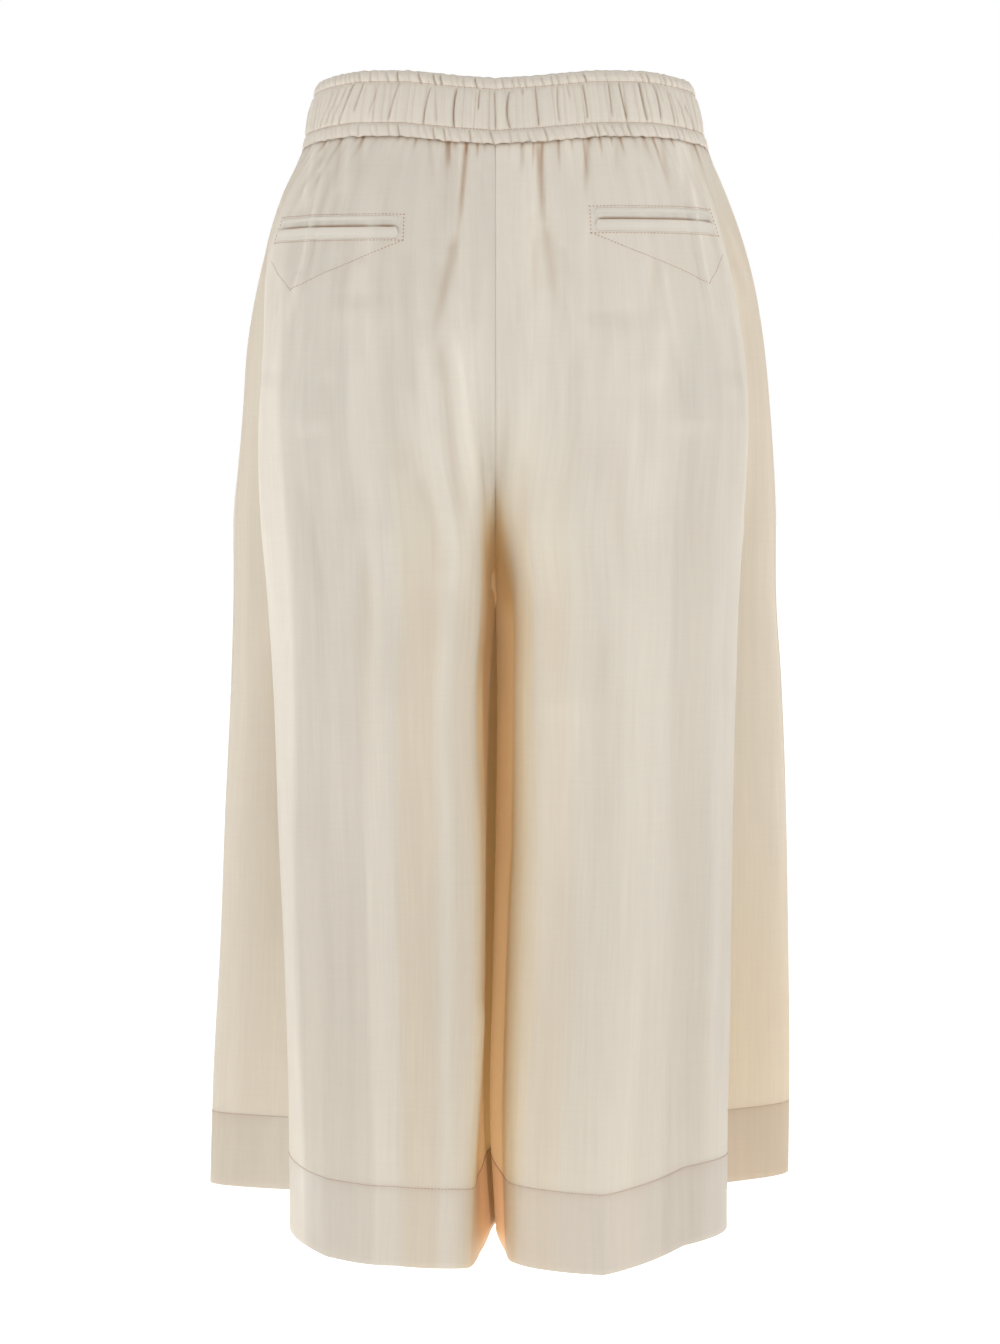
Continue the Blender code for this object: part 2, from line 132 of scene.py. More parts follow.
# The front thigh starts to find its place this far above the crotch, and is there this
# much lower down.
THIGH_LEAD, THIGH_EASE = 40.0, 60.0
CLOSING_Z = -250.0     # from here to the crotch the two legs' sections part into rings

# Front sections: one plain shape for both legs. Its widths are shares of the side's.
Front = namedtuple("Front", "z seam_y inner_x inner_y middle_y trough_y crest_y")
FRONT = (
    Front(-44, -80, 22, -79, -76, -69, -59),
    Front(-83, -88, 24, -87, -84, -78, -71),
    Front(-125, -93, 24, -93, -91, -85, -82),
    Front(-167, -95, 24, -96, -95, -88, -89),
    Front(-226, -90, 22, -97, -99, -89, -97),
    Front(-292, -66, 18, -96, -104, -91, -104),
    Front(-345, 10, 20, -96, -109, -93, -109),
    Front(-410, 11.5, 22, -98, -114, -96, -114),
    Front(-510, 13.7, 22, -103, -121, -100, -121),
    Front(-610, 16, 22, -108, -127, -103, -127),
    Front(-710, 18.2, 22, -113, -133, -106, -133),
    Front(-789, 20, 22, -116, -137, -108, -137),
)
CORNER_SHARE, CREST_SHARE, TROUGH_SHARE, MIDDLE_SHARE = 0.90, 0.68, 0.50, 0.32
CORNER_TURN = 0.66     # how far the front corner has turned forward of the side

# How far each station's edge rises above its level.
WAIST_RISE = (0, 1, 2, 6, 6.5, 5, 3, 0, 0, 2, 4, 4, 1, 0, 0)
LEFT_HEM_RISE = (2, 0, -3, 1, -2, 5, 15, 17, 14, 8, 8, 6, 4, 2, 2)
RIGHT_HEM_RISE = (3, 0, 1, -3, 7, 3, 18, 25, 20, 11, 8, 6, 4, 2, 3)
WAIST_FADE = 90.0      # depth over which the waist's rise dies out

# Large soft folds: where each starts and ends, in stations and levels, how deep it is
# (troughs are negative) and how wide, in stations. Each one starts part-way up its height
# and sinks back into the cloth over the last third of its length.
FOLD_START, FOLD_RISE, FOLD_END = 0.12, 0.20, 0.35      # shares of its length
Fold = namedtuple("Fold", "top_t top_z end_t end_z depth width")
LEFT_FOLDS = (
    Fold(2.00, -44, 2.95, -420, -5.0, 0.30),
    Fold(1.70, -44, 1.90, -250, 2.5, 0.30),
    Fold(3.30, -150, 2.90, -800, 3.0, 0.35),
    Fold(3.90, -230, 3.60, -800, -3.5, 0.35),
    Fold(2.40, -330, 2.35, -800, -3.0, 0.25),
    Fold(4.60, -200, 4.50, -800, 2.5, 0.35),
    Fold(10.40, -44, 10.60, -330, -3.5, 0.35),
    Fold(12.00, -60, 12.10, -420, 3.0, 0.40),
)
RIGHT_FOLDS = (
    Fold(2.15, -44, 2.55, -300, -4.5, 0.30),
    Fold(1.60, -44, 1.80, -260, 2.0, 0.30),
    Fold(2.90, -160, 3.00, -800, 3.0, 0.45),
    Fold(3.90, -230, 4.05, -800, -3.5, 0.35),
    Fold(2.40, -420, 2.45, -800, -2.5, 0.25),
    Fold(4.55, -200, 4.60, -800, 2.5, 0.30),
    Fold(9.90, -44, 9.70, -300, -3.5, 0.35),
    Fold(12.20, -60, 12.00, -420, 3.0, 0.40),
)

Leg = namedtuple("Leg", "name sign back folds hem_rise thigh_x "
                        "pocket_top pocket_slit pocket_low")
LEGS = (
    Leg("left", 1, LEFT_BACK, LEFT_FOLDS, LEFT_HEM_RISE, -2.0, -93.5, -100.0, -107.5),
    Leg("right", -1, RIGHT_BACK, RIGHT_FOLDS, RIGHT_HEM_RISE, 8.5, -88.5, -95.5, -103.0),
)


def smooth_curve(knots, values, at):
    """Values along a smooth curve through the rows of values that stand at the knots."""
    knots = np.asarray(knots, float)
    values = np.asarray(values, float)
    at = np.asarray(at, float)
    steps = np.diff(knots)
    slopes = np.diff(values, axis=0) / steps[:, None]
    tangents = np.vstack((slopes[:1], slopes))
    before, after = steps[:-1, None], steps[1:, None]
    tangents[1:-1] = (slopes[:-1] * after + slopes[1:] * before) / (before + after)
    cell = np.clip(np.searchsorted(knots, at, side="right") - 1, 0, len(steps) - 1)
    span = steps[cell][:, None]
    s = (at - knots[cell])[:, None] / span
    start, end = values[cell], values[cell + 1]
    return (start + s * s * (3 - 2 * s) * (end - start)
            + s * (1 - s) * (1 - s) * span * tangents[cell]
            - s * s * (1 - s) * span * tangents[cell + 1])


def ramp(value, low, high):
    """0 at low, 1 at high, with a smooth rise between."""
    s = np.clip((value - low) / (high - low), 0.0, 1.0)
    return s * s * (3 - 2 * s)


def section_at(table, z):
    """The named section at one level, between the rows of a table."""
    knots = [-row.z for row in table]
    return type(table[0])(*smooth_curve(knots, table, [-z])[0])


def stations(leg, z):
    """The section's stations, from the back seam round the side to the front seam."""
    back = section_at(leg.back, z)
    front = section_at(FRONT, z)
    width = back.fold_x - back.inner_x
    turn = back.back_y - back.fold_y
    corner_y = back.side_y + CORNER_TURN * (front.crest_y - back.side_y)
    down_leg = ramp(CROTCH_Z + THIGH_LEAD - z, 0, THIGH_EASE)
    inseam_y = CROTCH_Y + (INSEAM_HEM_Y - CROTCH_Y) * (CROTCH_Z - z) / (CROTCH_Z - HEM_Z)
    back_seam_y = max(back.seam_y, inseam_y)
    front_seam_y = min(front.seam_y, inseam_y)
    front_thigh_x = THIGH_ACROSS * front.inner_x * (1 - down_leg) + leg.thigh_x * down_leg
    return np.array((
        (back.seam_x, back_seam_y),
        (back.seam_x + THIGH_ACROSS * (back.inner_x - back.seam_x),
         back_seam_y + THIGH_BACK * (back.inner_y - back_seam_y)),
        (back.inner_x, back.inner_y),
        (back.inner_x + MID_SHARE * width, back.back_y),
        (back.inner_x + OUT_SHARE * width, back.back_y - OUT_DROP * turn),
        (back.fold_x, back.fold_y),
        (back.valley_x, back.valley_y),
        (back.side_x, back.side_y),
        (CORNER_SHARE * back.side_x, corner_y),
        (CREST_SHARE * back.side_x, front.crest_y),
        (TROUGH_SHARE * back.side_x, front.trough_y),
        (MIDDLE_SHARE * back.side_x, front.middle_y),
        (front.inner_x, front.inner_y),
        (front_thigh_x, front_seam_y + THIGH_BACK * (front.inner_y - front_seam_y)),
        (back.seam_x, front_seam_y),
    ))


def fold_height(folds, z, at):
    """How far the large soft folds raise or sink the cloth at one level."""
    height = np.zeros(len(at))
    for fold in folds:
        down = (fold.top_z - z) / (fold.top_z - fold.end_z)
        if not 0 <= down <= 1:
            continue
        middle = fold.top_t + (fold.end_t - fold.top_t) * down
        fade = ramp(1 - down, 0, FOLD_END) * ramp(down + FOLD_START, 0, FOLD_RISE)
        height += fold.depth * fade * np.exp(-((at - middle) / fold.width) ** 2)
    return height


def outline(leg, z, at):
    """The section at the given stations: its points, which way is out, and its rise."""
    points = stations(leg, z)
    closed = ramp(CLOSING_Z - z, 0, CLOSING_Z - CROTCH_Z)
    mirror = np.array((-1.0, 1.0))
    before = (1 - closed) * points[THIGH] * mirror + closed * points[FRONT_THIGH]
    after = (1 - closed) * points[FRONT_THIGH] * mirror + closed * points[THIGH]
    ring = np.vstack((before, points, after))
    lengths = np.linalg.norm(np.diff(ring, axis=0), axis=1)
    knots = np.concatenate(((0.0,), np.cumsum(lengths)))
    cell = np.clip(np.floor(at).astype(int), 0, len(points) - 2)
    places = knots[cell + 1] + (at - cell) * lengths[cell + 1]
    plan = smooth_curve(knots, ring, places)
    ahead = smooth_curve(knots, ring, places + 0.5) - smooth_curve(knots, ring, places - 0.5)
    outward = np.stack((-ahead[:, 1], ahead[:, 0]), axis=1)
    outward /= np.linalg.norm(outward, axis=1)[:, None]
    plan += outward * fold_height(leg.folds, z, at)[:, None]
    names = np.arange(len(points))
    waist = np.interp(at, names, WAIST_RISE) * (1 - ramp(BAND_BASE - z, 0, WAIST_FADE))
    hem = np.interp(at, names, leg.hem_rise) * ramp(CROTCH_Z - z, 0, CROTCH_Z - HEM_Z)
    return plan, outward, waist + hem


def arc_length(plan):
    """How far along a line of points each one lies."""
    steps = np.linalg.norm(np.diff(plan, axis=0), axis=1)
    return np.concatenate(((0.0,), np.cumsum(steps)))


def columns_along(leg, first, last, pitch):
    """Stations of a panel's columns, a pitch apart half way down the leg."""
    dense = np.linspace(first, last, 800)
    travelled = arc_length(outline(leg, (CROTCH_Z + HEM_Z) / 2, dense)[0])
    even = np.linspace(0, travelled[-1], round(travelled[-1] / pitch) + 1)
    return np.interp(even, travelled, dense), even


# Creases and small ridges that a step away still shows: their x outward on the leg, level,
# depth (troughs are negative), width, and how much painted shade darkens and warms the cloth
# in them, or painted light lightens it where that is negative.
Crease = namedtuple("Crease", "top_x top_z end_x end_z depth width shade")
LEFT_CREASES = (
    Crease(19, -40, 25, -112, -1.9, 2.4, 0.60),
    Crease(25, -100, 43, -180, -2.2, 4.5, 0.28),
    Crease(31, -40, 31, -64, -1.5, 1.8, 0.65),
    Crease(44, -40, 41, -78, -0.8, 2.4, 0.15),
    Crease(88, -36, 93, -84, -0.8, 2.6, 0.12),
    Crease(103, -36, 108, -86, -1.0, 2.2, 0.18),
    Crease(96, -36, 101, -88, 0.9, 2.6, -0.9),
    Crease(114, -38, 121, -92, -1.0, 2.2, 0.16),
    Crease(120, -38, 131, -110, 1.0, 2.4, -0.9),
    Crease(27, -160, 8, -312, 2.8, 6.0, -0.8),
    Crease(37, -165, 19, -330, -2.4, 5.0, 0.16),
    Crease(112, -322, 101, -356, -0.5, 2.2, 0.05),
    Crease(107, -338, 98, -372, -0.4, 2.0, 0.04),
    Crease(140, -372, 141, -402, -0.7, 1.8, 0.08),
    Crease(33, -744, 31, -776, -0.5, 2.0, 0.04),
    Crease(70, -150, 62, -320, -1.5, 7.0, 0.04),
    Crease(92, -240, 84, -520, 0.8, 8.0, 0.06),
    Crease(113, -56, 141, -170, 1.3, 1.9, -1.3),
    Crease(108, -56, 136, -170, -1.0, 1.9, 0.12),
    Crease(122, -52, 143, -120, -0.8, 1.6, 0.10),
)
RIGHT_CREASES = (
    Crease(28, -40, 33, -112, -1.8, 2.6, 0.50),
    Crease(33, -95, 41, -165, -1.9, 4.0, 0.22),
    Crease(62, -38, 59, -86, -1.3, 2.4, 0.35),
    Crease(18, -42, 18, -66, -0.8, 2.0, 0.25),
    Crease(47, -40, 50, -76, 0.8, 3.0, -0.7),
    Crease(82, -38, 79, -74, -0.7, 2.2, 0.12),
    Crease(98, -38, 101, -70, -0.8, 2.0, 0.16),
    Crease(111, -38, 116, -82, -1.1, 2.6, 0.22),
    Crease(121, -38, 128, -92, 0.9, 2.6, -0.9),
    Crease(131, -38, 142, -104, -0.9, 2.4, 0.12),
    Crease(52, -150, 60, -330, -1.5, 7.0, 0.04),
    Crease(86, -250, 92, -520, 0.9, 8.0, 0.0),
    Crease(21, -320, 24, -500, -0.8, 4.0, 0.05),
    Crease(120, -420, 118, -452, -0.4, 2.0, 0.03),
    Crease(127, -56, 151, -180, 1.4, 1.9, -1.5),
    Crease(122, -56, 146, -180, -1.1, 1.9, 0.12),
    Crease(136, -54, 157, -150, -0.9, 1.8, 0.10),
    Crease(110, -120, 126, -200, 0.9, 2.4, -0.9),
)

# Long soft columns of painted light and painted warm light, which stand in for the light that
# comes through more or fewer layers lying behind the cloth: the x each one starts from half way
# down the leg, how light and how warm it is.
Tone = namedtuple("Tone", "x light warm")
LEFT_PAINTED_COLUMNS = (Tone(0, 0.0, 0.14), Tone(16, -0.1, 0.14), Tone(26, 0.5, 0.03), Tone(36, -0.3, 0.17),
              Tone(62, 0.2, 0.02), Tone(83, -1.1, 0.03), Tone(133, 1.3, 0.0))
RIGHT_PAINTED_COLUMNS = (Tone(0, 0.0, 0.30), Tone(24, 0.1, 0.14), Tone(48, 0.4, 0.04), Tone(64, 0.3, 0.02),
               Tone(104, -0.2, 0.02), Tone(116, -1.2, 0.04), Tone(143, -0.6, 0.0))
BACK_CREASES = {"left": LEFT_CREASES, "right": RIGHT_CREASES}
BACK_PAINTED_COLUMNS = {"left": LEFT_PAINTED_COLUMNS, "right": RIGHT_PAINTED_COLUMNS}
PAINTED_COLUMN_EDGE = 3.5        # softness of the columns' edges
COLUMN_SWAY = (2.5, 74.0)      # a column's wander sideways, and over what height

# Where the painted shading changes down the cloth: each pair is the depth below the waist at
# which a change starts and the one at which it is full.
COLUMNS_SHOW, COLUMNS_WARM = (70, 220), (200, 360)
BAND_SHARE = 0.2               # of the columns' lightness, that shows right under the band
SEAT_ENDS = (290, 340)
LOW_LEG, HEM_STARTS = (400, 600), (733, 737)
SIDE_WARMS, SIDE_SHADE_ENDS, LOW_SIDE = (40, 110), (120, 400), (470, 680)
LEFT_GAP_STARTS, RIGHT_GAP_STARTS, FRONT_GAP_STARTS = (258, 335), (245, 340), (285, 350)
LEFT_GAP_DARKENS, BESIDE_STARTS, LOW_GAP = (300, 390), (420, 500), (440, 700)
NARROW_ENDS, HIGH_ENDS = (315, 365), (90, 210)
DEEP_STARTS, DEEP_FADES = (262, 338), (375, 450)

# Stations between which the painted shading changes across the cloth.
BACK_FACE_ENDS = (FOLD - 0.1, FOLD + 0.3)
BESIDE_ENDS = (1.90, 2.22)     # the left leg's cloth next to the gap
NARROWS, DEEP_ENDS = (0.3, 1.0), (0.2, 0.9)
FRONT_GAP = (FRONT_INNER + 0.1, FRONT_THIGH + 0.2)

# Painted shade, painted warm light and painted glow between the legs: how amber the cloth is
# there, by station, warmest at the seam.
LEFT_GAP = ((0.9, 1.88, 1.95), (1.0, 0.6, 0.0))
RIGHT_GAP = ((0.0, 0.5, 1.05, 1.3, 1.94, 2.02), (1.0, 1.16, 1.18, 0.55, 0.38, 0.0))
FRONT_GAP_WARMTH = 0.65
WARMEST = 1.6
# Painted glow between the legs at the hem.
LOW_GAP_GLOW = 0.10            # how much more light comes through there at the hem
NARROWING = 0.5                # how much less wide the amber is at its top
# Painted warm light and painted shade on the left leg beside the gap, and painted shade in it.
BESIDE_WARMTH, BESIDE_SHADE, LEFT_GAP_SHADE = 0.35, 0.09, 0.10
# Painted shade at the crotch.
DEEP_SHADE, DEEP_FADE = 0.46, 0.7      # how much browner it is at the crotch, and lower down
FRONT_DEEP = 0.25

# Painted light and painted shade, in the slub cloth's own steps of lightness.
# Painted light on the seat, painted shade down the lower legs that turns to painted light at the
# hem, and painted light under the band.
SEAT_LIGHT, SEAT_X, SEAT_WIDTH = 0.6, 25, 28
LOW_LEG_DIM, HEM_LIGHT = 0.75, 1.6
HIGH_LIGHT = 0.85              # the right leg right under the band
# Painted highlights along the fold's edges: how light, how many stations before the fold, and how
# wide.
PaintedFoldHighlight = namedtuple("PaintedFoldHighlight", "light before width sway")
PAINTED_FOLD_HIGHLIGHTS = {"left": (PaintedFoldHighlight(1.1, 0.04, 0.08, 0.0), PaintedFoldHighlight(0.35, 0.24, 0.09, 0.04)),
              "right": (PaintedFoldHighlight(1.1, 0.04, 0.08, 0.0), PaintedFoldHighlight(0.8, 0.24, 0.09, 0.04))}
EDGE_SWAY_HEIGHT = 13.0

# Painted warm light and painted shade: the sides, the hem and the seams are a little warmer or
# darker;
# the cloth right under the band carries a painted shadow, and each seam's dark line is partly its
# dark joint and partly painted shade of its groove.
SIDE_WARMTH = {"left": 0.11, "right": 0.16}
FRONT_WARMTH = 0.11
SIDE_SHADE, LOW_SIDE_WARMTH, LOW_SIDE_SHADE = 0.05, 0.13, 0.05
HEM_SHADE = {"back_left": 0.08, "back_right": 0.15, "front_left": 0.08, "front_right": 0.08}
SIDE_HEM_SHADE, SIDE_HEM_WIDTH = 0.07, 0.7
UNDER_BAND_SHADE, UNDER_BAND_REACH = 0.35, 1.6
SEAM_SHADE, SEAM_SHADE_WIDTH = 0.45, 0.9

FINE_ROWS = ((-80, 2.2), (-130, 1.7), (-730, 5.5), (HEM_Z, 4.5))   # down to, a pitch apart
SLIT_ROWS = (3.0, 0.5)          # rows this near the pocket's slit stand this far apart
STITCH_ROWS = (3.0, 0.75)
EDGE_TURN = (0.4, 3.5, 8.0)     # how far a seam's turned-in edge reaches inward
TOP_TURN = ((0.8, 0.2), (2.6, -0.4))    # inward and up, where the waist seam hides
HEM_FOLD = ((0.25, -0.5), (0.75, -0.65), (1.15, -0.3))
TOP_DROP, FOLD_DROP = (-3.0, -1.0), (0.5, 1.0, 1.5)     # their places down the cloth
HEM_INSIDE = 1.25       # from the cloth's face to the turned-up layer's
HEM_ROWS = 11
CLOTH_SEEN = 0.4        # thickness of the cloth
SEAM_GAP = 0.08         # between two panels at their seam
SHOULDER, SHOULDER_IN = 0.02, 0.12      # how far its edge has turned before it turns in
SEAM_CLOSES, SEAM_MEETS = (0, 12), 0.45  # above the crotch both legs' edges nearly touch
POCKET_IN, POCKET_OUT = 2.75, 4.75      # the pocket's two ends, in stations
POCKET_FADE = (0.02, 0.10)              # how far inside them its slit starts and is full
SLIT_DEPTH, SLIT_WIDTH = 0.8, 1.3
# Painted shade in the pocket's slit, and how wide it is.
SLIT_SHADE, SLIT_SHADE_WIDTH = 0.85, 1.0

# Gathers under the band: their widths, how proud the widest stand and how round they are,
# their lengths and how often each comes, and the valleys' painted shade, width and reach.
GATHER_SEEDS = {"back_left": 11, "back_right": 12, "front_left": 13, "front_right": 14}
PLEAT_WIDTHS, PLEAT_PROUD, PLEAT_ROUND = (4.5, 10.5), (0.5, 1.5), 0.75
PLEAT_FULL_WIDTH, PLEAT_START = 9, 4
PLEAT_LENGTHS, PLEAT_ODDS = (14, 22, 34, 60, 95), (0.26, 0.30, 0.24, 0.13, 0.07)
PLEAT_UNEVEN = (0.8, 1.25)
VALLEY_SHADES, VALLEY_WIDTH, VALLEY_REACH = (0.1, 0.9), 0.9, 0.4

# How many creases, between which levels they start, their lengths, widths and depths.
HIP_AND_LEG_CREASES = (
    (46, -46, -170, (35, 110), (2.2, 5.0), (0.4, 1.25)),
    (18, -150, -330, (60, 150), (3.5, 7.5), (0.7, 1.6)),
    (14, -340, -640, (120, 300), (5.0, 10.0), (0.8, 1.9)),
)
CREASE_LEAN, CREASE_LEAN_LENGTH = (-0.22, 0.22), 70
# Painted shade in a scattered crease's trough, and painted light on its ridge.
PAINTED_CREASE_SHADE, PAINTED_RIDGE_LIGHT = 0.05, -0.35
CREASES_CLEAR = (1, 14)         # distance from a seam at which they start and are full
CREASE_STARTS, CREASE_ENDS = (0, 0.15), (0.45, 1.0)     # shares of any crease's length
FACES_BACK = (0.0, 0.3)         # how far the cloth turns to the back where its own show

# The hem's stitching: its ripple's waves along the row, and its reach above and below.
RIPPLE, RIPPLE_WAVE, RIPPLE_DRIFT, RIPPLE_REACH = 0.16, 0.95, 0.13, 7
FURROW, FURROW_WIDTH = 0.08, 1.3
# Painted shade in the furrow and in a soft band just below it, that band's offset and reach.
FURROW_SHADE, SOFT_SHADE, SOFT_BELOW, SOFT_REACH = 0.10, 0.05, 1.5, 5


def panel_levels(leg, side):
    """The levels of a panel's rows, closer under the band, at pockets and at stitching."""
    levels = [BAND_BASE]
    for low, pitch in FINE_ROWS:
        count = round((levels[-1] - low) / pitch)
        levels += list(np.linspace(levels[-1], low, count + 1)[1:])
    marks = [(HEM_Z + HEM_DEPTH, STITCH_ROWS)]
    if side == "back":
        marks.append((leg.pocket_slit, SLIT_ROWS))
    for middle, (reach, pitch) in marks:
        levels = [z for z in levels if abs(z - middle) > reach + pitch / 2]
        levels += list(middle + np.arange(-reach, reach + pitch / 2, pitch))
    return np.array(sorted(levels, reverse=True))


def waist_gathers(node, along, below_band):
    """Round gathers under the band with sharp valleys between: their height and painted shade."""
    draw = np.random.default_rng(GATHER_SEEDS[node])
    height = np.zeros((len(below_band), len(along)))
    shade = np.zeros_like(height)
    start = -draw.uniform(0, PLEAT_START)
    while start < along[-1]:
        wide = draw.uniform(*PLEAT_WIDTHS)
        length = draw.choice(PLEAT_LENGTHS, p=PLEAT_ODDS) * draw.uniform(*PLEAT_UNEVEN)
        proud = draw.uniform(*PLEAT_PROUD) * wide / PLEAT_FULL_WIDTH
        inside = np.clip((along - start) / wide, 0, 1)
        arch = np.abs(np.sin(math.pi * inside)) ** PLEAT_ROUND
        fade = 1 - ramp(below_band / length, 0, 1)
        height += proud * fade[:, None] * arch
        dark = draw.uniform(*VALLEY_SHADES)
        valley = np.exp(-((along - start) / VALLEY_WIDTH) ** 2)
        valley_fade = 1 - ramp(below_band / (VALLEY_REACH * length), 0, 1)
        shade += dark * valley_fade[:, None] * valley
        start += wide
    return height, np.clip(shade, 0, 1)


def scattered_creases(node, width):
    """Small uneven creases round the hips, and a few longer and softer ones down the leg."""
    draw = np.random.default_rng(GATHER_SEEDS[node] + 20)
    creases = []
    for count, high, low, length, sizes, depths in HIP_AND_LEG_CREASES:
        for _ in range(count):
            x, z = draw.uniform(0, width), draw.uniform(low, high)
            long = draw.uniform(*length)
            lean = draw.uniform(*CREASE_LEAN) * min(long, CREASE_LEAN_LENGTH)
            depth = draw.uniform(*depths) * draw.choice((-1, 1))
            creases.append(Crease(x, z, x + lean, z - long, depth, draw.uniform(*sizes),
                                  PAINTED_CREASE_SHADE if depth < 0 else PAINTED_RIDGE_LIGHT))
    return creases


def crease_form(creases, x, z):
    """What creases add to the cloth's height, and to its painted shade and light, at each point.
    """
    height, shade = np.zeros_like(x), np.zeros_like(x)
    for crease in creases:
        down = (crease.top_z - z) / (crease.top_z - crease.end_z)
        middle = crease.top_x + (crease.end_x - crease.top_x) * down
        fade = ramp(down, *CREASE_STARTS) * (1 - ramp(down, *CREASE_ENDS))
        across = np.exp(-((x - middle) / crease.width) ** 2)
        height += crease.depth * fade * across
        shade += crease.shade * fade * across ** 2
    return height, shade


def pocket_form(leg, at, z):
    """The slit between a pocket's welts, sunk into the panel, with painted shade in it."""
    along = ramp(at - POCKET_IN, *POCKET_FADE) * ramp(POCKET_OUT - at, *POCKET_FADE)
    off = z - leg.pocket_slit
    sunk, dark = [np.exp(-(off / width) ** 2)[:, None] * along[None, :]
                  for width in (SLIT_WIDTH, SLIT_SHADE_WIDTH)]
    return -SLIT_DEPTH * sunk, SLIT_SHADE * dark


def stitch_row_form(along, z):
    """The slight furrow and ripple that the hem's stitching draws into the cloth, and the painted
    shade along it.
    """
    off = (z - (HEM_Z + HEM_DEPTH))[:, None]
    waves = np.sin(along * RIPPLE_WAVE + 2 * np.sin(along * RIPPLE_DRIFT))
    ripple = waves * np.exp(-(off / RIPPLE_REACH) ** 2)
    furrow = np.exp(-(off / FURROW_WIDTH) ** 2)
    soft = np.exp(-((off + SOFT_BELOW) / SOFT_REACH) ** 2)
    return RIPPLE * ripple - FURROW * furrow, FURROW_SHADE * furrow + SOFT_SHADE * soft


def below(levels, depths):
    """0 above a pair of depths below the waist and 1 below them, for each row."""
    return ramp(-levels, *depths)[:, None]


def painted_columns(painted_shadings, mid_x):
    """How much painted light and painted warm light the long soft columns give a back panel."""
    light, warm = painted_shadings[0].light, painted_shadings[0].warm
    for last, tone in zip(painted_shadings, painted_shadings[1:]):
        step = ramp(mid_x, tone.x - PAINTED_COLUMN_EDGE, tone.x + PAINTED_COLUMN_EDGE)
        light = light + (tone.light - last.light) * step
        warm = warm + (tone.warm - last.warm) * step
    return light, warm


def back_painted_shading(leg, at, levels, plan_x, mid_x):
    """A back panel's painted shade, painted warm light and painted lightness, how amber it is, and
    how deep in.
    """
    light, warm = painted_columns(BACK_PAINTED_COLUMNS[leg.name], mid_x)
    faces_back = 1 - ramp(at, *BACK_FACE_ENDS)
    shows = below(levels, COLUMNS_SHOW) * (1 - BAND_SHARE) + BAND_SHARE
    seat = np.exp(-((plan_x - SEAT_X) / SEAT_WIDTH) ** 2) * (1 - below(levels, SEAT_ENDS))
    low_leg = below(levels, LOW_LEG) * (1 - HEM_LIGHT * below(levels, HEM_STARTS))
    light = light * shows * faces_back + SEAT_LIGHT * seat - LOW_LEG_DIM * low_leg * faces_back
    for edge in PAINTED_FOLD_HIGHLIGHTS[leg.name]:
        sway = edge.sway * np.sin(levels / EDGE_SWAY_HEIGHT)[:, None]
        off = at - FOLD + edge.before + sway
        light = light + edge.light * np.exp(-(off / edge.width) ** 2)
    warm = warm * below(levels, COLUMNS_WARM) * faces_back
    warm = warm + SIDE_WARMTH[leg.name] * (1 - faces_back) * below(levels, SIDE_WARMS)
    shade = SIDE_SHADE * (1 - faces_back) * (1 - below(levels, SIDE_SHADE_ENDS))
    if leg.name == "left":
        gap = np.interp(at, *LEFT_GAP) * below(levels, LEFT_GAP_STARTS)
        beside = (1 - ramp(at, *BESIDE_ENDS)) * below(levels, BESIDE_STARTS)
        warm = warm + BESIDE_WARMTH * beside
        shade = shade + BESIDE_SHADE * beside
        shade = shade + LEFT_GAP_SHADE * gap * below(levels, LEFT_GAP_DARKENS)
        return shade, warm, light, gap, gap
    gap = np.interp(at, *RIGHT_GAP) * below(levels, RIGHT_GAP_STARTS)
    gap = gap * (1 - NARROWING * (1 - below(levels, NARROW_ENDS)) * ramp(at, *NARROWS))
    light = light + HIGH_LIGHT * (1 - below(levels, HIGH_ENDS)) * faces_back
    low_side = (1 - faces_back) * below(levels, LOW_SIDE)
    warm, shade = warm + LOW_SIDE_WARMTH * low_side, shade + LOW_SIDE_SHADE * low_side
    return shade, warm, light, gap, gap * (1 - ramp(at, *DEEP_ENDS))


def front_painted_shading(at, levels):
    """The same for a front panel, which is plain but for the gap between the legs."""
    warm = FRONT_WARMTH * (1 - ramp(at, SIDE, CREST))
    gap = FRONT_GAP_WARMTH * ramp(at, *FRONT_GAP) * below(levels, FRONT_GAP_STARTS)
    return 0.0, warm, 0.0, gap, FRONT_DEEP * gap


def panel_sections(leg, at, levels):
    """A panel's smooth sections: points, the way out, the edge's rise, and the slope."""
    rows = []
    for z in levels:
        plan, outward, rise = outline(leg, z, at)
        slope = outline(leg, z + 1, at)[0] - outline(leg, z - 1, at)[0]
        rows.append((plan, outward, rise, np.sum(outward * slope, axis=1) / 2))
    return [np.array(values) for values in zip(*rows)]


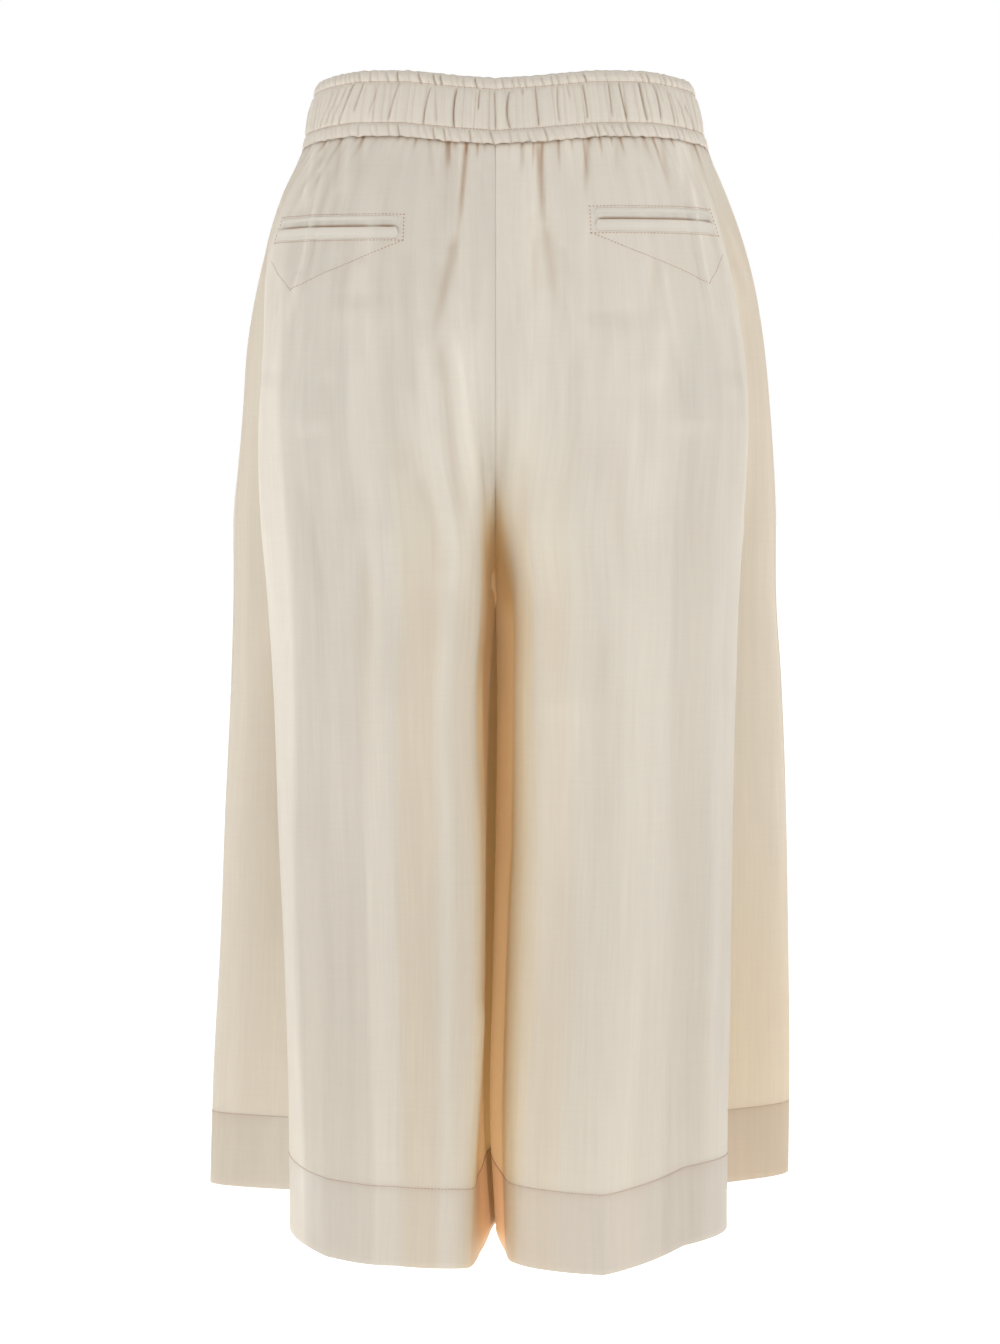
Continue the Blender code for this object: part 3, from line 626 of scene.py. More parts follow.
def panel_skin(leg, side, at, levels):
    """A panel's outer face, its normals, and its painted shading: painted shade, warm light and
    lightness.
    """
    node = f"{side}_{leg.name}"
    plan, outward, rises, slopes = panel_sections(leg, at, levels)
    z = np.broadcast_to(levels[:, None], plan.shape[:2])
    waist_along = arc_length(outline(leg, BAND_BASE, at)[0])
    hem_along = arc_length(outline(leg, HEM_Z + HEM_DEPTH, at)[0])
    height, shade = waist_gathers(node, waist_along, BAND_BASE - levels)
    to_seam = np.minimum(waist_along, waist_along[-1] - waist_along)
    creases = scattered_creases(node, waist_along[-1])
    forms = [crease_form(creases, np.broadcast_to(waist_along, z.shape), z)]
    shows = [ramp(to_seam, *CREASES_CLEAR)]
    if side == "back":
        forms.append(crease_form(BACK_CREASES[leg.name], plan[..., 0], z))
        shows.append(ramp(outward[..., 1], *FACES_BACK))
        forms.append(pocket_form(leg, at, levels))
        shows.append(1.0)
        sway, stretch = COLUMN_SWAY
        mid_x = (outline(leg, (CROTCH_Z + HEM_Z) / 2, at)[0][:, 0]
                 + sway * np.sin(levels / stretch)[:, None])
        dark, warm, light, gap, deepest = back_painted_shading(leg, at, levels, plan[..., 0], mid_x)
    else:
        dark, warm, light, gap, deepest = front_painted_shading(at, levels)
    for (added, darker), share in zip(forms, shows):
        height = height + added * share
        shade = shade + darker * share
    added, darker = stitch_row_form(hem_along, levels)
    height, shade = height + added, shade + darker + dark
    deep = below(levels, DEEP_STARTS) * (1 - DEEP_FADE * below(levels, DEEP_FADES))
    glow = LOW_GAP_GLOW * np.minimum(gap, 1) * below(levels, LOW_GAP)
    warm = np.maximum(warm, gap + glow)
    hem = (levels < HEM_Z + HEM_DEPTH)[:, None]
    far_side = np.exp(-((at - SIDE) / SIDE_HEM_WIDTH) ** 2)
    shade = (shade + DEEP_SHADE * deepest * deep
             + (HEM_SHADE[node] + SIDE_HEM_SHADE * far_side) * hem
             + UNDER_BAND_SHADE * np.exp((levels - BAND_BASE) / UNDER_BAND_REACH)[:, None])
    light = light + np.clip(-shade, 0, 2)
    edge = np.minimum(hem_along, hem_along[-1] - hem_along)
    shade = np.clip(shade, 0, 1) + SEAM_SHADE * np.exp(-(edge / SEAM_SHADE_WIDTH) ** 2)
    points = np.dstack((plan + outward * height[..., None], z + rises))
    normals = np.dstack((outward, -slopes))
    normals /= np.linalg.norm(normals, axis=2)[..., None]
    tone = np.dstack((np.clip(shade, 0, 1), np.clip(warm, 0, WARMEST), light))
    return points, normals, tone


def with_turned_edges(grid, normals, tone, levels, side):
    """The skin with a seam's turned-in edge down either side of it."""
    above = ramp(levels - CROTCH_Z, *SEAM_CLOSES)
    middle_edge, side_edge = (0, -1) if side == "back" else (-1, 0)
    away = 1 if side == "back" else -1
    along = grid[:, side_edge - away] - grid[:, side_edge]
    grid[:, side_edge] += along / np.linalg.norm(along, axis=1)[:, None] * SEAM_GAP / 2
    grid[:, middle_edge] += np.array((1, away, 0)) * SEAM_GAP / 2
    inward = -normals
    inward[:, middle_edge, 0] = np.maximum(inward[:, middle_edge, 0], 0) * (1 - above)
    meet = np.outer(above, (-SEAM_MEETS * SEAM_GAP, 0, 0))
    parts = []
    for edge, beside in ((0, 1), (-1, -2)):
        shoulder = (grid[:, edge] * (1 - SHOULDER_IN) + grid[:, beside] * SHOULDER_IN
                    + inward[:, edge] * SHOULDER)
        closed = meet if edge == middle_edge else 0
        turned = [shoulder] + [grid[:, edge] + inward[:, edge] * deep + closed
                               for deep in EDGE_TURN]
        order = slice(None, None, -1) if edge == 0 else slice(None)
        parts.append(np.stack(turned[order], axis=1))
    count = parts[0].shape[1]
    edges = [np.repeat(values[:, edge][:, None], count, axis=1)
             for edge in (0, -1) for values in (normals, tone)]
    edges[1][:, -1], edges[3][:, 0] = tone[:, 1], tone[:, -2]
    # The turned-in edges take full painted warm light and painted glow, so that the seam's groove
    # shows brown rather than grey.
    for hidden, columns in ((edges[1], slice(0, -1)), (edges[3], slice(1, None))):
        hidden[:, columns, 1] = 1.0
    return (np.concatenate((parts[0], grid[:, 1:-1], parts[1]), axis=1),
            np.concatenate((edges[0], normals[:, 1:-1], edges[2]), axis=1),
            np.concatenate((edges[1], tone[:, 1:-1], edges[3]), axis=1))


def with_hem_and_top(grid, normals, tone, levels):
    """The skin with its top turned in under the band and its hem turned up inside."""
    up = np.array((0.0, 0.0, 1.0))
    rows = [grid[0] - normals[0] * inward + up * rise for inward, rise in TOP_TURN[::-1]]
    rows += list(grid)
    rows += [grid[-1] - normals[-1] * inward + up * rise for inward, rise in HEM_FOLD]
    painted_shadings = [tone[0]] * len(TOP_TURN) + list(tone) + [tone[-1]] * len(HEM_FOLD)
    drop = [*TOP_DROP, *(BAND_BASE - levels)]
    drop += [drop[-1] + step for step in FOLD_DROP]
    for lift in np.linspace(1, HEM_DEPTH + 1, HEM_ROWS):
        place = np.interp(-levels[-1] - lift, -levels, np.arange(len(levels)))
        low = min(int(place), len(levels) - 2)
        point = grid[low] + (grid[low + 1] - grid[low]) * (place - low)
        rows.append(point - normals[low] * HEM_INSIDE)
        painted_shadings.append(tone[low])
        drop.append(BAND_BASE - levels[-1] + FOLD_DROP[-1] + lift)
    return np.array(rows), np.array(painted_shadings), np.array(drop)


def grid_mesh(name, points, spots, tone, sign, closed=False):
    """A mesh of quads from a grid of points, with a UV map of spots and its painted shading."""
    rows, columns = points.shape[:2]
    number = np.arange(rows * columns).reshape(rows, columns)
    if closed:
        number = np.column_stack((number, number[:, :1]))
    quads = np.stack((number[:-1, :-1], number[:-1, 1:], number[1:, 1:], number[1:, :-1]),
                     axis=-1).reshape(-1, 4)
    if sign < 0:
        quads = quads[:, ::-1]
    mesh = bpy.data.meshes.new(name)
    scale = np.array((sign, 1, 1)) * MM
    mesh.from_pydata((points.reshape(-1, 3) * scale).tolist(), [], quads.tolist())
    uv = mesh.uv_layers.new(name="cloth")
    corners = np.zeros(len(mesh.loops), np.int32)
    mesh.loops.foreach_get("vertex_index", corners)
    uv.data.foreach_set("uv", (spots.reshape(-1, 2)[corners] * MM).astype(np.float32).ravel())
    painted_shadings = mesh.attributes.new("tone", "FLOAT_VECTOR", "POINT")
    painted_shadings.data.foreach_set("vector", tone.astype(np.float32).ravel())
    mesh.shade_smooth()
    piece = bpy.data.objects.new(name, mesh)
    bpy.context.scene.collection.objects.link(piece)
    return piece


def set_inputs(tree, node, **inputs):
    """Set a node's named inputs to values, or link them to other nodes' outputs."""
    for name, value in inputs.items():
        socket = node.inputs[name.replace("_", " ")]
        if isinstance(value, bpy.types.NodeSocket):
            tree.links.new(value, socket)
        else:
            socket.default_value = value


def new_node(tree, kind, settings=None, **inputs):
    """A node in a tree, beside the last one, with its settings made and its inputs set."""
    node = tree.nodes.new(kind)
    row, column = divmod(len(tree.nodes), 8)
    node.location = (column * 220, -row * 260)
    for name, value in (settings or {}).items():
        setattr(node, name, value)
    set_inputs(tree, node, **inputs)
    return node


# The cloth's colours: face on; brown painted shade in its creases and hollows; painted warm light
# where layers behind it would warm it; and of the light that comes through it in plain and in warm
# places.
CREAM = (0.795, 0.772, 0.708)
PAINTED_SHADE_BROWN = (0.40, 0.22, 0.11)
PAINTED_WARM_LIGHT_PEACH = (0.86, 0.68, 0.385)
THROUGH_PEACH, THROUGH_AMBER = (0.78, 0.705, 0.585), (1.0, 0.80, 0.48)
# Painted glow: emission of the warm places, which stands in for light that reaches them through
# the layers behind them.
PAINTED_GLOW_STRENGTH = 0.09    # light that reaches the warm places through the layers behind them

# The weave: how wide and long its slubs, thick wefts and broad streaks are, in metres, how
# much each changes the colour, and how the threads between them run.
SLUB_SIZE, WEFT_SIZE, STREAK_SIZE = (0.0019, 0.055), (0.045, 0.0018), (0.010, 0.38)
SLUB_GAIN, WEFT_GAIN, STREAK_GAIN = 0.17, 0.07, 0.16
THREAD_SCALE = 320.0
# Painted light: what one step of painted lightness adds to the colour, and the painted glow of
# places warmer than 1.
LIGHT_STEP = 0.085             # what one step of lightness adds to the colour
BEYOND_GLOW = 5.0              # light of the places that are warmer than 1
WEAVE_RELIEF, WEFT_RELIEF = 0.25, 0.5
SMOOTHEST, SLUB_ROUGHNESS = 0.44, 0.16
SLUB_SOCKETS = (
    ("INPUT", (("UV", "Vector"), ("Tone", "Vector"), ("Cloth", "Color"), ("Crease", "Color"),
               ("Warm", "Color"), ("Slub", "Float"))),
    ("OUTPUT", (("Color", "Color"), ("Height", "Float"), ("Roughness", "Float"),
                ("Glow", "Color"))),
)


def slub_cloth_and_painted_shading_group():
    """Shade and relief of the woven cloth: fine threads and upright slubs, with painted shade in
    its creases, painted warm light and lightness, and a painted glow.
    """
    group = bpy.data.node_groups.new("slub cloth", "ShaderNodeTree")
    for way, sockets in SLUB_SOCKETS:
        for name, kind in sockets:
            group.interface.new_socket(name, in_out=way, socket_type=f"NodeSocket{kind}")
    given = new_node(group, "NodeGroupInput").outputs

    def noise(size, detail):
        stretch = new_node(group, "ShaderNodeMapping", Vector=given["UV"],
                           Scale=(1 / size[0], 1 / size[1], 1))
        return new_node(group, "ShaderNodeTexNoise", Vector=stretch.outputs[0], Scale=1.0,
                        Detail=detail, Roughness=0.55).outputs["Fac"]

    def threads(direction):
        return new_node(group, "ShaderNodeTexWave", {"bands_direction": direction},
                        Vector=given["UV"], Scale=THREAD_SCALE, Distortion=0.0).outputs["Fac"]

    def maths(kind, *values):
        node = new_node(group, "ShaderNodeMath", {"operation": kind})
        for socket, value in zip(node.inputs, values):
            if isinstance(value, (int, float)):
                socket.default_value = value
            else:
                group.links.new(value, socket)
        return node.outputs[0]

    def mixed(factor, first, second):
        node = new_node(group, "ShaderNodeMix", {"data_type": "RGBA"}, Factor=factor)
        group.links.new(first, node.inputs[6])
        group.links.new(second, node.inputs[7])
        return node.outputs[2]

    def vector_maths(kind, *values, **inputs):
        node = new_node(group, "ShaderNodeVectorMath", {"operation": kind}, **inputs)
        for socket, value in zip(node.inputs, values):
            group.links.new(value, socket)
        return node.outputs[0]

    def uneven(clouds, gain):
        return maths("MULTIPLY", maths("SUBTRACT", clouds, 0.5), gain)

    # Painted shading: X mixes in painted shade, Y painted warm light, and Z adds painted
    # lightness.
    tone = new_node(group, "ShaderNodeSeparateXYZ", Vector=given["Tone"]).outputs
    slubs, wefts = noise(SLUB_SIZE, 3.0), noise(WEFT_SIZE, 2.0)
    fine = maths("ADD", uneven(slubs, given["Slub"]), uneven(wefts, WEFT_GAIN))
    broad = maths("ADD", uneven(noise(STREAK_SIZE, 2.0), STREAK_GAIN),
                  maths("MULTIPLY", tone["Z"], LIGHT_STEP))
    gain = maths("ADD", maths("ADD", fine, broad), 1.0)
    tinted = mixed(tone["Y"], given["Cloth"], given["Warm"])
    colour = vector_maths("SCALE", mixed(tone["X"], tinted, given["Crease"]), Scale=gain)
    # Painted glow: the warm places glow peach, and places warmer than 1 glow in the cloth's own
    # colour.
    warmth = maths("MINIMUM", tone["Y"], 1.0)
    beyond = maths("MULTIPLY", maths("SUBTRACT", tone["Y"], warmth), BEYOND_GLOW)
    glow = vector_maths("SCALE", given["Warm"], Scale=maths("MULTIPLY", warmth, warmth))
    glow = vector_maths("ADD", glow, vector_maths("SCALE", given["Cloth"], Scale=beyond))
    weave = maths("MULTIPLY", maths("MULTIPLY", threads("X"), threads("Y")), WEAVE_RELIEF)
    relief = maths("ADD", weave, maths("ADD", slubs, maths("MULTIPLY", wefts, WEFT_RELIEF)))
    new_node(group, "NodeGroupOutput", Color=colour, Height=relief, Glow=glow,
             Roughness=maths("ADD", maths("MULTIPLY", slubs, SLUB_ROUGHNESS), SMOOTHEST))
    return group


slub_cloth_and_painted_shading = slub_cloth_and_painted_shading_group()


def cloth_material(name, cloth, through):
    """The woven cloth in one finish, with a share of light let through it and a painted glow in
    its warm places.
    """
    material = bpy.data.materials.new(name)
    material.use_nodes = True
    tree = material.node_tree
    uv = new_node(tree, "ShaderNodeUVMap", {"uv_map": "cloth"})
    tone = new_node(tree, "ShaderNodeAttribute", {"attribute_name": "tone"}).outputs["Vector"]
    weave = new_node(tree, "ShaderNodeGroup", {"node_tree": slub_cloth_and_painted_shading}, UV=uv.outputs[0],
                     Tone=tone, Cloth=(*cloth, 1), Crease=(*PAINTED_SHADE_BROWN, 1),
                     Warm=(*PAINTED_WARM_LIGHT_PEACH, 1), Slub=SLUB_GAIN).outputs
    bump = new_node(tree, "ShaderNodeBump", Height=weave["Height"], Strength=0.35,
                    Distance=0.00018)
    shader = tree.nodes["Principled BSDF"]
    set_inputs(tree, shader, Base_Color=weave["Color"], Roughness=weave["Roughness"],
               Emission_Color=weave["Glow"], Emission_Strength=PAINTED_GLOW_STRENGTH,
               Normal=bump.outputs[0], Sheen_Weight=0.18, Sheen_Roughness=0.35,
               Specular_IOR_Level=0.5)
    # The light let through turns amber where the painted warm light is strongest.
    warmth = new_node(tree, "ShaderNodeSeparateXYZ", Vector=tone)
    tint = new_node(tree, "ShaderNodeMix", {"data_type": "RGBA"}, Factor=warmth.outputs["Y"])
    tint.inputs[6].default_value = (*THROUGH_PEACH, 1)
    tint.inputs[7].default_value = (*THROUGH_AMBER, 1)
    shine = new_node(tree, "ShaderNodeBsdfTranslucent", Color=tint.outputs[2])
    mix = new_node(tree, "ShaderNodeMixShader", Fac=through)
    tree.links.new(shader.outputs[0], mix.inputs[1])
    tree.links.new(shine.outputs[0], mix.inputs[2])
    tree.links.new(mix.outputs[0], tree.nodes["Material Output"].inputs["Surface"])
    return material


leg_cloth = cloth_material("leg cloth", CREAM, 0.42)

PANEL_PITCH = {"back": 2.15, "front": 2.6}
skins = {}
for leg in LEGS:
    for side, first, last in (("back", SEAM, SIDE), ("front", SIDE, FRONT_SEAM)):
        node = f"{side}_{leg.name}"
        levels = panel_levels(leg, side)
        at, across = columns_along(leg, first, last, PANEL_PITCH[side])
        points, normals, tone = panel_skin(leg, side, at, levels)
        skins[node] = (at, levels, points, normals)
        grid, facing, tone = with_turned_edges(points.copy(), normals, tone, levels, side)
        grid, tone, drop = with_hem_and_top(grid, facing, tone, levels)
        spread = np.linspace(0, across[-1], grid.shape[1])
        spots = np.stack(np.meshgrid(spread, drop[-1] - drop), axis=-1)
        piece = grid_mesh(f"{node}_cloth", grid, spots, tone, leg.sign)
        thick = piece.modifiers.new("cloth", "SOLIDIFY")
        thick.thickness = CLOTH_SEEN * MM
        thick.offset = -1
        piece.data.materials.append(leg_cloth)
        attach(piece, "root")
        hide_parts(node)


def on_skin(node, at, z):
    """Points and normals of a panel's outer face at stations and levels."""
    stations_there, levels_there, points, normals = skins[node]
    across = np.interp(at, stations_there, np.arange(len(stations_there)))
    down = np.interp(-np.asarray(z, float), -levels_there, np.arange(len(levels_there)))
    c = np.minimum(across.astype(int), len(stations_there) - 2)
    r = np.minimum(down.astype(int), len(levels_there) - 2)
    cs, rs = (across - c)[:, None], (down - r)[:, None]
    return [(grid[r, c] * (1 - rs) * (1 - cs) + grid[r, c + 1] * (1 - rs) * cs
             + grid[r + 1, c] * rs * (1 - cs) + grid[r + 1, c + 1] * rs * cs)
            for grid in (points, normals)]


# ---------------------------------------------------------------------------------------
# Hem stitching: one row of rose-taupe thread that holds the turned-up hem, round each leg.
# ---------------------------------------------------------------------------------------
STITCH_INPUTS = (
    ("Geometry", "Geometry", None), ("Pitch", "Float", 0.002), ("Stitch", "Float", 0.0015),
    ("Thread", "Float", 0.0004), ("Seed", "Int", 1), ("Material", "Material", None),
)
SHORTEST_STITCH, LONGEST_STITCH = (0.88, 0.85, 0.85), (1.08, 1.15, 1.15)    # of its size


def stitch_tree():
    """Geometry nodes that lay one stitch after another along a path."""
    tree = bpy.data.node_groups.new("row of stitches", "GeometryNodeTree")
    for name, kind, value in STITCH_INPUTS:
        socket = tree.interface.new_socket(name, in_out="INPUT",
                                           socket_type=f"NodeSocket{kind}")
        if value is not None:
            socket.default_value = value
    tree.interface.new_socket("Geometry", in_out="OUTPUT", socket_type="NodeSocketGeometry")
    given = new_node(tree, "NodeGroupInput").outputs
    path = new_node(tree, "GeometryNodeMeshToCurve", Mesh=given["Geometry"])
    even = new_node(tree, "GeometryNodeResampleCurve", {"mode": "LENGTH"},
                    Curve=path.outputs[0], Length=given["Pitch"])
    ball = new_node(tree, "GeometryNodeMeshUVSphere", Segments=6, Rings=4, Radius=0.5)
    size = new_node(tree, "ShaderNodeCombineXYZ", X=given["Stitch"], Y=given["Thread"],
                    Z=given["Thread"])
    shape = new_node(tree, "GeometryNodeTransform", Geometry=ball.outputs["Mesh"],
                     Scale=size.outputs[0])
    facing = new_node(tree, "GeometryNodeInputNamedAttribute",
                      {"data_type": "FLOAT_VECTOR"}, Name="facing")
    tangent = new_node(tree, "GeometryNodeInputTangent")
    turn = new_node(tree, "FunctionNodeAxesToRotation",
                    {"primary_axis": "Z", "secondary_axis": "X"},
                    Primary_Axis=facing.outputs[0], Secondary_Axis=tangent.outputs[0])
    uneven = new_node(tree, "FunctionNodeRandomValue", {"data_type": "FLOAT_VECTOR"},
                      Min=SHORTEST_STITCH, Max=LONGEST_STITCH, Seed=given["Seed"])
    lay = new_node(tree, "GeometryNodeInstanceOnPoints", Points=even.outputs[0],
                   Instance=shape.outputs[0], Rotation=turn.outputs[0],
                   Scale=uneven.outputs[0])
    whole = new_node(tree, "GeometryNodeRealizeInstances", Geometry=lay.outputs[0])
    paint = new_node(tree, "GeometryNodeSetMaterial", Geometry=whole.outputs[0],
                     Material=given["Material"])
    new_node(tree, "NodeGroupOutput", Geometry=paint.outputs[0])
    return tree


stitch_row = stitch_tree()


THREAD_DARK, THREAD_PALE = (0.33, 0.16, 0.09, 1), (0.54, 0.31, 0.20, 1)


def thread_material():
    """Matt sewing thread, a little darker and rosier than the cloth, with its twist."""
    material = bpy.data.materials.new("rose taupe thread")
    material.use_nodes = True
    tree = material.node_tree
    spot = new_node(tree, "ShaderNodeTexCoord")
    twist = new_node(tree, "ShaderNodeTexNoise", Vector=spot.outputs["Object"], Scale=900.0,
                     Detail=2.0).outputs["Fac"]
    colours = new_node(tree, "ShaderNodeValToRGB", Fac=twist)
    for element, colour in zip(colours.color_ramp.elements, (THREAD_DARK, THREAD_PALE)):
        element.color = colour
    bump = new_node(tree, "ShaderNodeBump", Height=twist, Strength=0.4, Distance=0.0001)
    set_inputs(tree, tree.nodes["Principled BSDF"], Base_Color=colours.outputs[0],
               Normal=bump.outputs[0], Roughness=0.7, Sheen_Weight=0.2)
    return material


thread = thread_material()


def sew(name, paths, pitch, stitch=1.45, thick=0.42, seed=1):
    """Rows of stitches along paths, each a list of points with the way they face."""
    mesh = bpy.data.meshes.new(name)
    points = np.concatenate([path for path, _ in paths])
    starts = np.cumsum([0] + [len(path) for path, _ in paths[:-1]])
    edges = [(start + i, start + i + 1) for start, (path, _) in zip(starts, paths)
             for i in range(len(path) - 1)]
    mesh.from_pydata((points * MM).tolist(), edges, [])
    facing = mesh.attributes.new("facing", "FLOAT_VECTOR", "POINT")
    ways = np.concatenate([way for _, way in paths]).astype(np.float32)
    facing.data.foreach_set("vector", ways.ravel())
    row = bpy.data.objects.new(name, mesh)
    bpy.context.scene.collection.objects.link(row)
    modifier = row.modifiers.new("stitches", "NODES")
    modifier.node_group = stitch_row
    named = {item.name: item.identifier for item in stitch_row.interface.items_tree
             if item.in_out == "INPUT"}
    for key, value in (("Pitch", pitch * MM), ("Stitch", stitch * MM), ("Thread", thick * MM),
                       ("Seed", seed), ("Material", thread)):
        modifier[named[key]] = value
    bpy.context.view_layer.update()
    seen = row.evaluated_get(bpy.context.evaluated_depsgraph_get())
    finished = bpy.data.meshes.new_from_object(seen)
    row.modifiers.clear()
    row.data = finished
    finished.shade_smooth()
    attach(row, "root")
    return row


THREAD_LIFT = 0.05      # how far a row of stitches stands off the cloth's face
paths = []
for leg in LEGS:
    side_to = np.array((leg.sign, 1, 1))
    for side in ("back", "front"):
        at = skins[f"{side}_{leg.name}"][0][1:-1]
        place, way = on_skin(f"{side}_{leg.name}", at, np.full(len(at), HEM_Z + HEM_DEPTH))
        paths.append(((place + way * THREAD_LIFT) * side_to, way * side_to))
sew("hem_stitches", paths, 2.3, stitch=1.3, thick=0.65, seed=3)

# ---------------------------------------------------------------------------------------
# Back pockets: two narrow welts each, folded and pressed, with the pocket's slit between,
# and a frame of edge stitching that runs to a point below.
# ---------------------------------------------------------------------------------------
WELT_SINK = -0.25      # the welts' backs lie this far into the panel's face
WELT_CLOTH = 0.60
ROUNDNESS = 0.6       # of a welt's section: 1 is an ellipse, and less is boxier
# How wide the slit stands open along each pocket, by station.
Mouth = namedtuple("Mouth", "at gap")
MOUTHS = {"left": (Mouth(2.75, 0.15), Mouth(2.90, 0.7), Mouth(3.4, 0.55), Mouth(3.9, 0.4),
                   Mouth(4.15, 0.1), Mouth(4.35, 0.15), Mouth(4.55, 0.5), Mouth(4.75, 0.2)),
          "right": (Mouth(2.75, 0.2), Mouth(2.95, 0.5), Mouth(3.4, 0.35), Mouth(3.8, 0.2),
                    Mouth(4.1, 0.15), Mouth(4.4, 0.35), Mouth(4.6, 0.9), Mouth(4.75, 0.4))}
WELT_COLUMNS, WELT_ROUND = 72, 26
WELT_TAPER, WELT_TIP = 0.02, 0.02      # stations over which an end tapers, and its thinnest
# A welt this near the slit follows the panel's face this much further from it instead.
SLIT_NEAR, SLIT_PAST = 3.5, 3
# Painted shade on a welt's underside and at its top and bottom edges, where it is partly a seam's
# dark line and partly painted shade by the slit; how sharp that is; and painted light over the
# welt.
UNDERSIDE_SHADE, WELT_EDGE_SHADE, WELT_EDGE_SHARP, WELT_LIGHT = 0.35, 0.55, 10, 0.4
WELT_GIRTH, STATION_LENGTH = 18, 45    # of cloth, for the weave
# The welts are the legs' cloth with a darker colour: painted shade that holds down how brightly
# they catch the light.
welt_cloth_painted_darker = cloth_material("welt cloth", (0.76, 0.722, 0.65), 0.30)


def bulged(value):
    """A sine or cosine whose curve is boxier."""
    return np.sign(value) * np.abs(value) ** ROUNDNESS


for leg in LEGS:
    mouth = MOUTHS[leg.name]
    at = np.linspace(POCKET_IN, POCKET_OUT, WELT_COLUMNS)
    gap = np.interp(at, [m.at for m in mouth], [m.gap for m in mouth])
    from_end = np.minimum(at - POCKET_IN, POCKET_OUT - at)
    taper = np.sqrt(np.clip(from_end / WELT_TAPER, WELT_TIP, 1))
    for name, high, low in (("upper", leg.pocket_top, leg.pocket_slit + gap / 2),
                            ("lower", leg.pocket_slit - gap / 2, leg.pocket_low)):
        middle, half = (high + low) / 2, (high - low) / 2
        rows, painted_shadings = [], []
        for angle in np.linspace(0, 2 * math.pi, WELT_ROUND, endpoint=False):
            z = middle + half * bulged(math.cos(angle)) * taper
            proud = WELT_SINK + WELT_CLOTH * (0.5 + 0.5 * bulged(math.sin(angle))) * taper
            place, way = on_skin(f"back_{leg.name}", at, z)
            off = z - leg.pocket_slit
            flat, _ = on_skin(f"back_{leg.name}", at, z + np.sign(off) * SLIT_PAST)
            place[:, :2] = np.where(np.abs(off)[:, None] < SLIT_NEAR, flat[:, :2], place[:, :2])
            rows.append(place + way * proud[:, None])
            # Painted shade under the welt and at its edges, and painted light over it.
            shade = (UNDERSIDE_SHADE * max(0.0, -math.sin(angle))
                     + WELT_EDGE_SHADE * abs(math.cos(angle)) ** WELT_EDGE_SHARP)
            painted_shadings.append(np.tile((shade, 0.0, WELT_LIGHT), (len(at), 1)))
        points = np.array(rows + rows[:1])
        round_it = np.linspace(0, WELT_GIRTH, len(points))
        spots = np.stack(np.meshgrid(round_it, at * STATION_LENGTH, indexing="ij"), axis=-1)
        node = f"pocket_{leg.name}_{name}_welt"
        piece = grid_mesh(f"{node}_cloth", points, spots, np.array(painted_shadings + painted_shadings[:1]), leg.sign)
        piece.data.materials.append(welt_cloth_painted_darker)
        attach(piece, "root")
        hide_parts(node)

# ---------------------------------------------------------------------------------------
# Crotch: the end of the seam allowance, which curls out where the four panels meet.
# ---------------------------------------------------------------------------------------
CURL_PATH = ((0.2, 39, -321), (0.9, 46, -327), (1.9, 49, -333), (1.6, 48, -339), (0.3, 45, -344),
             (0.1, 40, -349), (0.6, 33, -355))
CURL_HALF_WIDTH = (0.3, 1.1, 2.3, 2.2, 1.3, 0.9, 0.3)
CURL_SIDES, CURL_LEVELS = 12, 25
CURL_THICKNESS = 0.6       # of its width
# Painted shade at the curl's sides where it turns away, with painted warm light and painted light
# over it.
CURL_SHADE, CURL_WARMTH, CURL_LIGHT = 0.75, 0.8, 1.5
knots = np.arange(len(CURL_PATH))
along = np.linspace(0, knots[-1], CURL_LEVELS)
spine = smooth_curve(knots, CURL_PATH, along)
half = smooth_curve(knots, [[value] for value in CURL_HALF_WIDTH], along)[:, 0]
turn = np.linspace(0, 2 * math.pi, CURL_SIDES + 1)
points = np.stack([spine + np.column_stack((half * math.cos(angle),
                                            CURL_THICKNESS * half * math.sin(angle),
                                            0 * half)) for angle in turn], axis=1)
tone = np.zeros_like(points)
tone[..., 0] = CURL_SHADE * np.abs(np.cos(turn)) ** 3
tone[..., 1:] = CURL_WARMTH, CURL_LIGHT
spots = np.stack(np.meshgrid(turn, along * 4), axis=-1)
piece = grid_mesh("crotch_seam_end", points, spots, tone, 1)
piece.data.materials.append(leg_cloth)
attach(piece, "root")

# ---------------------------------------------------------------------------------------
# Waistband: a casing of the same cloth, gathered on elastic by two rows of stitching.
# ---------------------------------------------------------------------------------------
BAND_HEIGHT = 44.0
BAND_LEAN = 0.07       # how much narrower its top is, as a share
BAND_CLOTH = 0.35
BAND_COLUMNS = 1150
Channel = namedtuple("Channel", "height bulge")
BAND_PROFILE = (Channel(0.0, 0.1), Channel(1.2, 0.6), Channel(4.8, 1.0), Channel(8.3, 0.5),
                Channel(9.4, -0.1), Channel(10.8, 0.4), Channel(14.5, 0.9), Channel(23.0, 1.2),
                Channel(31.5, 0.9), Channel(35.4, 0.4), Channel(36.8, -0.1), Channel(38.0, 0.4),
                Channel(40.6, 0.7), Channel(44.0, -0.2))
ROW_LOW, ROW_HIGH = 9.4, 36.8      # the two rows of stitching
BAND_ROWS = (0, 0.5, 1.2, 2.4, 3.8, 5.4, 7.0, 8.3, 9.0, ROW_LOW, 9.8, 10.5, 12, 14, 16.5, 19, 21.5,
             24, 26.5, 29, 31.3, 33.3, 35, 36.2, ROW_HIGH, 37.4, 38.3, 39.5, 40.9, 42.2, 43.3,
             BAND_HEIGHT)

